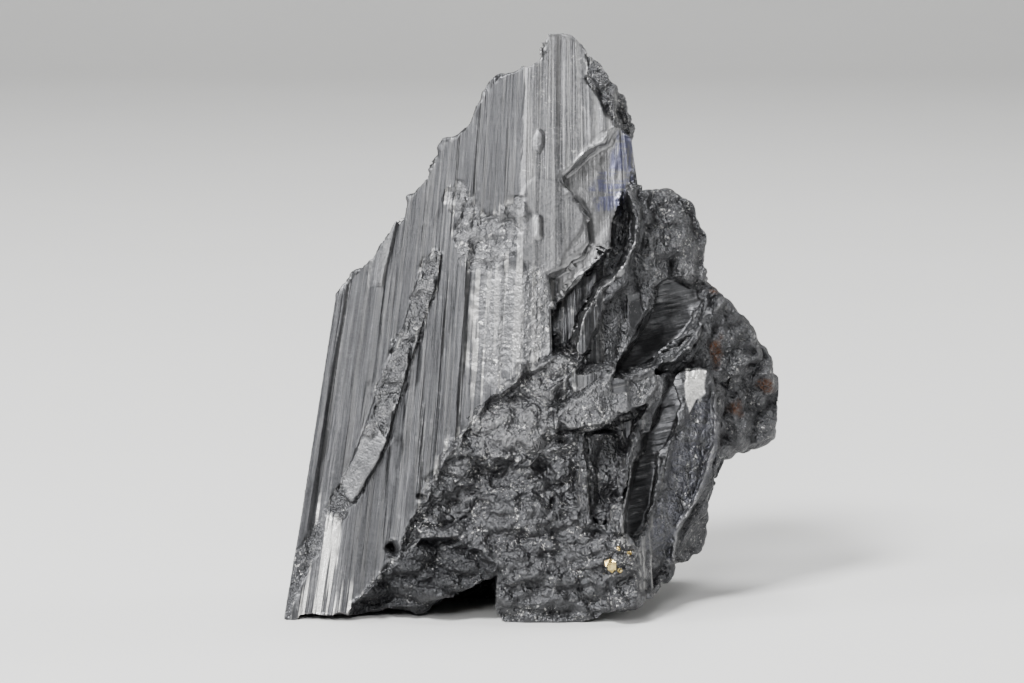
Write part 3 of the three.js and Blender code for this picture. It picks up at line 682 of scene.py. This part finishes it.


# Lines on the front. A crest is raised and painted bright, a painted highlight; a crack is cut in and
# painted dark, a painted shade.


class Line:
    def __init__(self, points, height, width, tone=None, gloss=0.6):
        self.points = points
        self.height = height  # negative for a crack
        self.width = width  # half the width at its foot
        self.tone = tone
        self.gloss = gloss

    def lay_on(self, skin):
        where = near_box(self.points, skin.x, skin.z, 2 * self.width)
        x, z = skin.x[where], skin.z[where]
        wandering = 0.3 * self.width * noise(x * 3, 0 * x, z * 3, 141)
        away = np.abs(line_distance(self.points, x, z) + wandering) / self.width
        strength = np.clip(0.8 + 0.7 * noise(x * 0.9, 0 * x, z * 0.9, 143), 0.2, 1)
        strength *= skin.facing[where]
        skin.height[where] += strength * self.height * np.clip(1 - away, 0, 1)
        # The line's tone paints a highlight on a crest or shade in a crack.
        if self.tone is not None:
            cover = strength * (1 - smoothstep(0.5, 0.9, away))
            for channel, value in ((TONE, self.tone), (GLOSS, self.gloss), (GRAIN, RIBBON_GRAIN)):
                skin.finish[where, channel] += cover * (value - skin.finish[where, channel])


RIBBON_GRAIN = 0.1
# The tones of lines are painted light: ribbons are lightened as painted highlights on their crests; cracks,
# holes and ledge feet are darkened as painted shade and shadow.
RIBBON = {"height": 0.1, "width": 0.24, "tone": 0.5}
CRACK = {"height": -0.1, "width": 0.1, "tone": 0.15, "gloss": 0.3}
LEDGE_FOOT = {"height": -0.16, "width": 0.16, "tone": 0.12, "gloss": 0.3}
HOLE = {"height": -0.4, "width": 0.16, "tone": 0.02, "gloss": 0.1}

LINES = [
    Line([(6.4, 17.0), (6.1, 15.9), (5.6, 14.8), (4.9, 13.8), (3.9, 12.3)], **RIBBON),
    Line([(9.8, 16.1), (9.0, 15.5), (8.4, 14.4), (7.4, 13.4), (6.1, 12.7), (5.2, 12.4)], **RIBBON),
    # These crests are painted bright, as painted highlights on the ridges.
    Line(
        [(5.1, 21.9), (5.5, 20.8), (5.3, 19.4), (4.7, 18.1), (3.4, 16.8), (2.7, 15.5), (2.2, 14.1)],
        height=0.08, width=0.28, tone=0.64, gloss=0.75,
    ),
    Line(
        [(9.5, 11.4), (9.4, 9.0), (8.9, 7.5), (8.3, 6.0), (7.5, 4.6), (7.3, 3.2)],
        height=0.05, width=0.16, tone=0.6,
    ),
    Line([(5.8, 10.2), (5.2, 8.2), (4.9, 6.6), (4.6, 5.0)], height=0.1, width=0.16, tone=0.6),
    Line([(2.9, 28.8), (3.2, 27.8), (3.6, 26.8)], **CRACK),
    Line([(-5.2, 7.3), (-4.15, 8.1), (-3.1, 8.4), (-2.2, 8.3)], **LEDGE_FOOT),
    Line([(-5.7, 5.0), (-4.4, 4.9), (-3.3, 5.3), (-2.5, 5.2)], **LEDGE_FOOT),
    Line([(-2.0, 6.4), (-1.0, 6.2), (-0.2, 6.5)], **LEDGE_FOOT),
    Line([(2.3, 5.0), (3.2, 4.6), (4.6, 4.5)], **LEDGE_FOOT),
    Line([(1.17, 6.35), (1.13, 5.95)], **HOLE),
    Line([(-5.6, 6.45), (-5.35, 6.35)], **HOLE),
    Line([(-5.45, 16.3), (-5.6, 15.7), (-5.85, 15.1)], **CRACK),
    Line([(-6.85, 9.9), (-7.4, 8.6), (-8.2, 7.2), (-8.9, 6.1)], **CRACK),
]

# Brown stains: x, z, how wide and how tall, in millimetres.
STAINS = [(9.7, 17.1, 0.5, 0.4), (9.6, 13.8, 0.35, 0.9), (10.6, 10.8, 0.5, 0.6), (12.3, 11.9, 0.6, 0.5)]


def lay_stain(skin, x0, z0, width, height):
    x, y, z = skin.x, skin.y, skin.z
    away = np.hypot((x - x0) / width, (z - z0) / height) + 0.5 * noise(x * 2, y * 2, z * 2.5, 151)
    np.maximum(skin.finish[:, RUST], 1 - smoothstep(0.4, 1.1, away), out=skin.finish[:, RUST])


HOLLOW_SHADE = 0.18  # how much darker rough ground is for each mm that it lies deeper


def skin_of(points, normals):
    """The relief and finish of points in the front frame, with their normals."""
    skin = Skin(points, normals)
    everywhere = np.arange(len(points))
    prism_side = skin.lengthwise * smoothstep(*PRISM_END, skin.x)
    sides = finish_of(tone=0.4, gloss=0.6, streaks=1.0, glint=0.03, grain=0.02)
    skin.lay(everywhere, prism_side, striations, sides)
    between_ridges = smoothstep(3.2, 4.2, skin.x) * skin.facing * smoothstep(9.5, 11.0, skin.z)
    skin.lay(everywhere, between_ridges, upright_facets, finish_of(tone=0.36, gloss=0.6, grain=0.5))
    for area in AREAS.values():
        area.lay_on(skin)
    for line in LINES:
        line.lay_on(skin)
    for stain in STAINS:
        lay_stain(skin, *stain)
    skin.finish[:, TONE] += HOLLOW_SHADE * skin.finish[:, GRAIN] * skin.height
    return skin


# ---------- The crystal's mesh ----------

VOXEL = 0.055  # mm
PIECE_LIMIT = 196_000  # triangles in each piece
PIECE_NAMES = ("crystal_left", "crystal_right", "crystal_back")
FRONT_CARE = 0.003  # how much more reluctantly the front is thinned than the rest
CARE_LEVELS = 3  # steps in that care, from the back to the front
CARE_STEP = 0.25
STREAK_STRETCH = 0.012  # how fast the material's streaks change lengthwise, against across
STREAK_DEPTH = 0.3  # and how fast they change with depth
SHARP_ANGLE = math.radians(42)  # edges sharper than this are shaded as edges


def values_of(collection, name, width=3):
    """One property of all the vertices, corners or faces, as an array."""
    values = np.empty(len(collection) * width)
    collection.foreach_get(name, values)
    return values.reshape(-1, width)


def set_coordinates(mesh, points):
    mesh.vertices.foreach_set("co", points.ravel())
    mesh.update()


def with_modifier(piece, kind, **settings):
    """Gives the piece the mesh that a modifier makes of it."""
    modifier = piece.modifiers.new(kind, kind)
    for name, value in settings.items():
        setattr(modifier, name, value)
    depsgraph = bpy.context.evaluated_depsgraph_get()
    made = bpy.data.meshes.new_from_object(piece.evaluated_get(depsgraph))
    old = piece.data
    piece.modifiers.clear()
    piece.data = made
    bpy.data.meshes.remove(old)


def points_and_normals(mesh):
    return values_of(mesh.vertices, "co"), values_of(mesh.vertex_normals, "vector")


def carve(mesh):
    """Adds the relief to a mesh that is in front-frame millimetres."""
    points, normals = points_and_normals(mesh)
    set_coordinates(mesh, points + sway(points, normals))
    points, normals = points_and_normals(mesh)
    skin = skin_of(points, normals)
    height = skin.height * above_feet(points)
    outward = normals * (1 - skin.facing)[:, None]
    outward[:, 1] -= skin.facing
    set_coordinates(mesh, points + outward * height[:, None])


def thin(piece, triangles):
    """Takes triangles out, fewer of them from the front."""
    _, normals = points_and_normals(piece.data)
    facing = smoothstep(0.0, 0.4, -normals[:, 1])
    group = piece.vertex_groups.new(name="thinned")
    for level in range(CARE_LEVELS):
        members = np.flatnonzero(np.round((CARE_LEVELS - 1) * facing) == level)
        group.add(members.tolist(), 1 - CARE_STEP * level, "REPLACE")
    settings = {"vertex_group": group.name, "vertex_group_factor": FRONT_CARE}
    settings["ratio"] = triangles / (2 * len(piece.data.polygons))
    with_modifier(piece, "DECIMATE", use_collapse_triangulate=True, **settings)
    piece.vertex_groups.clear()


def finish_attributes(points, normals):
    """What the material reads at each point: the finish, and the coordinates that its patterns use."""
    skin = skin_of(points, normals)
    x, y, z = points.T
    along, across = np.where(skin.level, (x, z - 0.2 * x), (z, fan(x, z)))
    return {
        "surface": skin.finish[:, :3],
        # The stain attribute holds tarnish, rust and the amount of painted glint.
        "stain": skin.finish[:, 3:6],
        "grain": skin.finish[:, [GRAIN, GRAIN, GRAIN]],
        "front": points,
        "streak_space": np.stack([across, STREAK_DEPTH * y, along * STREAK_STRETCH], axis=1),
    }


def main_part(mesh):
    """Numbers of the faces in the mesh's largest connected part, without loose crumbs."""
    corners = values_of(mesh.loops, "vertex_index", 1).astype(int).reshape(-1, 3)
    part = np.arange(len(mesh.vertices))
    changed = True
    while changed:
        lowest = part[corners].min(axis=1)
        joined = part.copy()
        for corner in corners.T:
            np.minimum.at(joined, corner, lowest)
            np.minimum.at(joined, part[corner], lowest)
        joined = joined[joined]
        changed = (joined != part).any()
        part = joined
    face_part = part[corners[:, 0]]
    return np.flatnonzero(face_part == np.bincount(face_part).argmax())


def shares(faces, middles):
    """Shares faces out equally between left, right and back."""
    from_front = faces[np.argsort(middles[faces, 1], kind="stable")]
    third = len(from_front) // 3
    front, back = from_front[: 2 * third], from_front[2 * third :]
    from_left = front[np.argsort(middles[front, 0], kind="stable")]
    return from_left[:third], from_left[third:], back


def make_piece(name, whole, faces, attributes, material):
    """A piece made of some of the whole mesh's triangles, shaded just as they are there."""
    corners = values_of(whole.loops, "vertex_index", 1).astype(int).reshape(-1, 3)[faces]
    corner_normals = values_of(whole.corner_normals, "vector").reshape(-1, 3, 3)[faces]
    used, corners = np.unique(corners, return_inverse=True)
    mesh = bpy.data.meshes.new(name)
    mesh.from_pydata(values_of(whole.vertices, "co")[used], [], corners.reshape(-1, 3))
    mesh.shade_smooth()
    for attribute, values in attributes.items():
        layer = mesh.attributes.new(attribute, "FLOAT_VECTOR", "POINT")
        layer.data.foreach_set("vector", np.ascontiguousarray(values[used]).ravel())
    mesh.normals_split_custom_set(corner_normals.reshape(-1, 3))
    mesh.materials.append(material)
    piece = bpy.data.objects.new(name, mesh)
    bpy.context.collection.objects.link(piece)
    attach(piece, "root")
    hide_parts(NODE)


def in_cad_box(points):
    """The points, with those past the solid's box moved back to its sides."""
    low, high = (np.array(corner) for corner in cad_box)
    return np.clip(points, low, high)


def make_crystal():
    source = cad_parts[NODE]
    whole = bpy.data.objects.new("whole", source.data.copy())
    bpy.context.collection.objects.link(whole)
    set_coordinates(whole.data, to_front(values_of(whole.data.vertices, "co")))
    with_modifier(whole, "REMESH", mode="VOXEL", voxel_size=VOXEL)
    carve(whole.data)
    with_modifier(whole, "REMESH", mode="VOXEL", voxel_size=VOXEL)
    thin(whole, len(PIECE_NAMES) * PIECE_LIMIT)
    mesh = whole.data
    attributes = finish_attributes(*points_and_normals(mesh))
    set_coordinates(mesh, in_cad_box(to_row(values_of(mesh.vertices, "co"))))
    mesh.shade_smooth()
    mesh.set_sharp_from_angle(angle=SHARP_ANGLE)
    material = steel_grey()
    middles = to_front(values_of(mesh.polygons, "center"))
    for name, faces in zip(PIECE_NAMES, shares(main_part(mesh), middles)):
        make_piece(name, mesh, faces, attributes, material)
    make_pyrite(whole)
    bpy.data.objects.remove(whole)


# ---------- Pyrite ----------

# Grains of pyrite stuck to the front: x, z and size in millimetres.
PYRITE_GRAINS = [(4.1, 3.0, 0.55), (4.45, 3.85, 0.2), (5.0, 3.6, 0.22), (4.5, 2.75, 0.24)]
CUBES_PER_GRAIN = 5
GRAIN_OUT = 0.12  # how far out of the surface a grain's middle is, as a share of its size
CUBE_EDGE = (0.75, -0.12)  # edge of a grain's first cube, and the change from cube to cube
CUBE_SPREAD = 0.28  # how far the other cubes are from the first
CUBE_BEVEL = 0.06


def make_pyrite(whole):
    """Small clusters of cubes, half sunk into the crystal's front."""
    surface = BVHTree.FromObject(whole, bpy.context.evaluated_depsgraph_get())
    inward = Vector(TO_ROW @ np.array([0.0, 1.0, 0.0]))
    grains = bmesh.new()
    for n, (x, z, size) in enumerate(PYRITE_GRAINS):
        start = Vector(to_row(np.array([x, -10.0, z])))
        place, _, _, _ = surface.ray_cast(start, inward)
        for m in range(CUBES_PER_GRAIN):
            turn = Matrix.Rotation(1.3 * m + n, 4, Vector((1 + m, 2 - n % 3, 1.5)).normalized())
            aside = Vector((math.cos(2.4 * m), 0, math.sin(2.4 * m))) * CUBE_SPREAD * size * (m > 0)
            edge = size * (CUBE_EDGE[0] + CUBE_EDGE[1] * m)
            out = inward * -GRAIN_OUT * size
            matrix = Matrix.Translation(place + (aside + out) * MM) @ turn
            cube = bmesh.ops.create_cube(grains, size=edge * MM, matrix=matrix)
            edges = list(dict.fromkeys(e for v in cube["verts"] for e in v.link_edges))
            bevel = CUBE_BEVEL * edge * MM
            bmesh.ops.bevel(grains, geom=edges, offset=bevel, segments=1, affect="EDGES")
    mesh = bpy.data.meshes.new("pyrite")
    grains.to_mesh(mesh)
    grains.free()
    set_coordinates(mesh, in_cad_box(values_of(mesh.vertices, "co")))
    piece = bpy.data.objects.new("pyrite_grains", mesh)
    bpy.context.collection.objects.link(piece)
    mesh.materials.append(brass_yellow())
    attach(piece, "root")


# ---------- Materials ----------


class Nodes:
    """A short way to write a material's nodes: every call adds one node and returns it."""

    def __init__(self, name):
        self.material = bpy.data.materials.new(name)
        self.material.use_nodes = True
        self.tree = self.material.node_tree
        self.shader = self.tree.nodes["Principled BSDF"]

    def add(self, kind, inputs=(), **settings):
        node = self.tree.nodes.new(kind)
        for name, value in settings.items():
            setattr(node, name, value)
        for name, value in dict(inputs).items():
            self.put(node.inputs[name], value)
        return node

    def put(self, socket, value):
        if isinstance(value, bpy.types.NodeSocket):
            self.tree.links.new(value, socket)
        else:
            socket.default_value = value

    def attribute(self, name):
        return self.add("ShaderNodeAttribute", attribute_name=name).outputs["Vector"]

    def parts(self, vector):
        return self.add("ShaderNodeSeparateXYZ", {"Vector": vector}).outputs

    def scaled(self, vector, scale):
        return self.add("ShaderNodeVectorMath", {0: vector, 1: scale}, operation="MULTIPLY").outputs[0]

    def noise(self, vector, scale, detail=3.0, roughness=0.55):
        inputs = {"Vector": vector, "Scale": scale, "Detail": detail, "Roughness": roughness}
        return self.add("ShaderNodeTexNoise", inputs).outputs["Fac"]

    def cell_tone(self, vector, scale):
        """A number from 0 to 1 that is the same all over each cell."""
        cells = self.add("ShaderNodeTexVoronoi", {"Vector": vector, "Scale": scale})
        return self.add("ShaderNodeSeparateColor", {"Color": cells.outputs["Color"]}).outputs["Red"]

    def ramp(self, value, low, high, to_low=0.0, to_high=1.0):
        inputs = {"Value": value, "From Min": low, "From Max": high, "To Min": to_low, "To Max": to_high}
        return self.add("ShaderNodeMapRange", inputs).outputs["Result"]

    def math(self, operation, a, b):
        return self.add("ShaderNodeMath", {0: a, 1: b}, operation=operation).outputs[0]

    def mix(self, factor, a, b):
        node = self.add("ShaderNodeMix", data_type="RGBA")
        for socket, value in ((0, factor), (6, a), (7, b)):
            self.put(node.inputs[socket], value)
        return node.outputs[2]

    def bump(self, height, strength, distance):
        inputs = {"Height": height, "Strength": strength, "Distance": distance}
        return self.add("ShaderNodeBump", inputs).outputs["Normal"]


DARK_STEEL = (0.014, 0.0145, 0.016, 1.0)
MID_STEEL = (0.075, 0.076, 0.08, 1.0)
BRIGHT_STEEL = (0.31, 0.31, 0.315, 1.0)
PAINTED_GLINT_COLOUR = (0.85, 0.84, 0.81, 1.0)
TARNISH_BLUE = (0.13, 0.135, 0.21, 1.0)
RUST_BROWN = (0.085, 0.04, 0.022, 1.0)


def steel_grey():
    n = Nodes("andorite")
    tone, gloss, streaks = n.parts(n.attribute("surface"))
    tarnish, rust, glint = n.parts(n.attribute("stain"))
    front = n.attribute("front")
    streak_space = n.attribute("streak_space")
    speck = n.noise(front, 8.0, 3.0, 0.6)

    level = steel_level(n, tone, speck, front, streak_space, streaks)
    dark = n.mix(n.ramp(level, 0.0, 0.5), DARK_STEEL, MID_STEEL)
    colour = n.mix(n.ramp(level, 0.5, 1.0), dark, BRIGHT_STEEL)
    # A tone above 1 is a painted highlight, mixed towards the painted glint colour.
    colour = n.mix(n.ramp(level, 1.0, 1.6), colour, PAINTED_GLINT_COLOUR)
    film = n.math("MULTIPLY", n.ramp(hatching(n, front), 0.62, 0.5), tarnish)
    colour = n.mix(film, colour, TARNISH_BLUE)
    # Painted glints: there the colour goes almost white and the surface smoother and less metallic, so that
    # they shine under any light.
    painted_flash = n.math("MULTIPLY", painted_glints(n, front, streak_space, streaks), glint)
    colour = n.mix(n.math("MULTIPLY", painted_flash, 0.85), colour, PAINTED_GLINT_COLOUR)
    stain = n.math("MULTIPLY", n.ramp(speck, 0.35, 0.6), rust)
    colour = n.mix(stain, colour, RUST_BROWN)

    roughness = n.math("ADD", n.ramp(gloss, 0.0, 1.0, 0.62, 0.24), n.ramp(speck, 0.25, 0.75, -0.06, 0.06))
    roughness = n.math("SUBTRACT", roughness, n.math("MULTIPLY", painted_flash, 0.12))
    roughness = n.math("ADD", roughness, n.math("MULTIPLY", stain, 0.3))

    n.put(n.shader.inputs["Base Color"], colour)
    n.put(n.shader.inputs["Roughness"], roughness)
    # The metal is made less metallic under the painted glints.
    n.put(n.shader.inputs["Metallic"], n.ramp(painted_flash, 0.0, 1.0, 0.88, 0.45))
    n.put(n.shader.inputs["Normal"], n.bump(steel_relief(n, front, streak_space, streaks), 1.0, MM))
    return n.material


def steel_level(n, tone, speck, front, streak_space, streaks):
    """How dark or bright the steel is: the tone, varied by streaks, mottle and specks, with painted
    highlights on sharp edges and painted shade in creases.
    """
    streak = n.noise(streak_space, 6.5, 3.0, 0.65)
    bands = n.cell_tone(streak_space, 3.2)
    mottle = n.noise(front, 1.1, 3.0)
    # Painted light: pointy edges are lightened as painted highlights, creases darkened as painted shade.
    edges = n.add("ShaderNodeNewGeometry").outputs["Pointiness"]
    band_tone = n.math("ADD", n.ramp(streak, 0.3, 0.7, -0.14, 0.14), n.ramp(bands, 0.0, 1.0, -0.09, 0.09))
    level = n.math("ADD", tone, n.math("MULTIPLY", band_tone, streaks))
    level = n.math("ADD", level, n.ramp(mottle, 0.3, 0.7, -0.04, 0.04))
    level = n.math("ADD", level, n.ramp(speck, 0.3, 0.7, -0.06, 0.06))
    return n.math("ADD", level, n.ramp(edges, 0.4, 0.6, -0.1, 0.1))


def hatching(n, front):
    """Upright and level strokes that cross."""
    upright = n.noise(n.scaled(front, (5.0, 1.0, 0.7)), 1.0, 2.0)
    level = n.noise(n.scaled(front, (0.7, 1.0, 5.0)), 1.0, 2.0)
    return n.math("MAXIMUM", upright, level)


def painted_glints(n, front, streak_space, streaks):
    """Where the painted glints shine: clusters of bright specks on rough ground, and long bright bars among
    the streaks.
    """
    glint_flecks = n.math(
        "MAXIMUM",
        n.ramp(n.noise(front, 5.0, 3.0, 0.6), 0.6, 0.65),
        n.ramp(n.noise(front, 10.0, 1.0), 0.68, 0.71),
    )
    clusters = n.ramp(n.noise(front, 0.8, 2.0), 0.47, 0.6, 0.05, 0.7)
    unstreaked = n.ramp(streaks, 0.3, 1.0, 1.0, 0.0)
    glint_flecks = n.math("MULTIPLY", glint_flecks, n.math("MULTIPLY", clusters, unstreaked))
    glint_bars = n.math("MULTIPLY", n.ramp(n.noise(streak_space, 3.5, 2.0), 0.52, 0.57), streaks)
    return n.math("MAXIMUM", glint_flecks, glint_bars)


def steel_relief(n, front, streak_space, streaks):
    """The relief too fine for the mesh, in millimetres."""
    grain = n.parts(n.attribute("grain"))[0]
    crests = n.math("ABSOLUTE", n.math("SUBTRACT", n.noise(front, 3.0, 4.0, 0.55), 0.5), 0.0)
    warp = n.add("ShaderNodeTexNoise", {"Vector": front, "Scale": 1.5}).outputs["Color"]
    warped = n.add("ShaderNodeVectorMath", {0: front, 1: n.scaled(warp, (0.8, 0.8, 0.8))}, operation="ADD")
    cells = {"Vector": warped.outputs[0], "Scale": 4.5}
    grains = n.add("ShaderNodeTexVoronoi", cells, distance="MANHATTAN").outputs["Distance"]
    rough = n.math("ADD", n.math("MULTIPLY", crests, -0.55), n.math("MULTIPLY", grains, -0.08))
    height = n.math("MULTIPLY", rough, grain)
    lines = n.math("MULTIPLY", n.noise(streak_space, 8.0, 2.0, 0.5), n.math("MULTIPLY", streaks, 0.05))
    height = n.math("ADD", height, lines)
    return n.math("ADD", height, n.math("MULTIPLY", n.noise(front, 8.0, 2.0, 0.5), 0.003))


PALE_BRASS = (0.62, 0.50, 0.22, 1.0)
DEEP_BRASS = (0.22, 0.15, 0.05, 1.0)


def brass_yellow():
    n = Nodes("pyrite")
    position = n.add("ShaderNodeNewGeometry").outputs["Position"]
    patches = n.noise(position, 4000.0, 3.0)
    n.put(n.shader.inputs["Base Color"], n.mix(n.ramp(patches, 0.35, 0.65), DEEP_BRASS, PALE_BRASS))
    n.put(n.shader.inputs["Roughness"], n.ramp(patches, 0.3, 0.7, 0.3, 0.15))
    n.shader.inputs["Metallic"].default_value = 1.0
    return n.material


FLOOR_SHADES = ((0.64, 0.64, 0.63, 1.0), (0.68, 0.68, 0.67, 1.0))


def pale_floor():
    n = Nodes("pale_floor")
    position = n.add("ShaderNodeNewGeometry").outputs["Position"]
    n.put(n.shader.inputs["Base Color"], n.mix(n.noise(position, 30.0), *FLOOR_SHADES))
    n.shader.inputs["Roughness"].default_value = 0.6
    return n.material


# ---------- Floor and light ----------

FLOOR_HALF_WIDTH = 0.6  # m
FLOOR_FRONT = -0.6
FLOOR_BACK = 0.35
SWEEP_RADIUS = 0.18
SWEEP_HEIGHT = 0.6
SWEEP_STEPS = 12


def add_floor():
    """A pale floor that curves up into a plain backdrop."""
    profile = [(FLOOR_FRONT, 0.0), (FLOOR_BACK, 0.0)]
    for step in range(1, SWEEP_STEPS + 1):
        turn = math.radians(90) * step / SWEEP_STEPS
        profile.append((FLOOR_BACK + SWEEP_RADIUS * math.sin(turn), SWEEP_RADIUS * (1 - math.cos(turn))))
    profile.append((FLOOR_BACK + SWEEP_RADIUS, SWEEP_HEIGHT))
    mesh = bpy.data.meshes.new("floor")
    vertices = [(side * FLOOR_HALF_WIDTH, y, z) for y, z in profile for side in (-1, 1)]
    faces = [(2 * i, 2 * i + 1, 2 * i + 3, 2 * i + 2) for i in range(len(profile) - 1)]
    mesh.from_pydata(vertices, [], faces)
    mesh.shade_smooth()
    floor = bpy.data.objects.new("floor", mesh)
    bpy.context.collection.objects.link(floor)
    mesh.materials.append(pale_floor())


# Area lights: where each stands, its width and height in metres, and its power in watts.
SOFTBOXES = {
    "key": {"place": (-0.16, -0.20, 0.30), "size": (0.09, 0.09), "power": 3.2},
    "front": {"place": (-0.06, -0.36, 0.20), "size": (0.12, 0.08), "power": 1.0},
    "side": {"place": (-0.32, -0.10, 0.10), "size": (0.05, 0.18), "power": 0.8},
    "top": {"place": (0.02, 0.08, 0.34), "size": (0.18, 0.18), "power": 1.3},
    "rim": {"place": (0.28, 0.10, 0.12), "size": (0.08, 0.16), "power": 0.4},
}
WORLD_GREY = (0.5, 0.5, 0.5, 1.0)
WORLD_STRENGTH = 0.12


def add_softbox(name, place, size, power):
    """An area light that faces the crystal's middle."""
    data = bpy.data.lights.new(name, "AREA")
    data.shape = "RECTANGLE"
    data.size, data.size_y = size
    data.energy = power
    light = bpy.data.objects.new(name, data)
    light.location = place
    middle = (Vector(cad_box[0]) + Vector(cad_box[1])) / 2
    light.rotation_euler = (middle - Vector(place)).to_track_quat("-Z", "Y").to_euler()
    bpy.context.collection.objects.link(light)


def add_lights():
    world = bpy.data.worlds.new("studio")
    world.use_nodes = True
    background = world.node_tree.nodes["Background"]
    background.inputs["Color"].default_value = WORLD_GREY
    background.inputs["Strength"].default_value = WORLD_STRENGTH
    bpy.context.scene.world = world
    for name, settings in SOFTBOXES.items():
        add_softbox(name, **settings)


make_crystal()
add_floor()
add_lights()
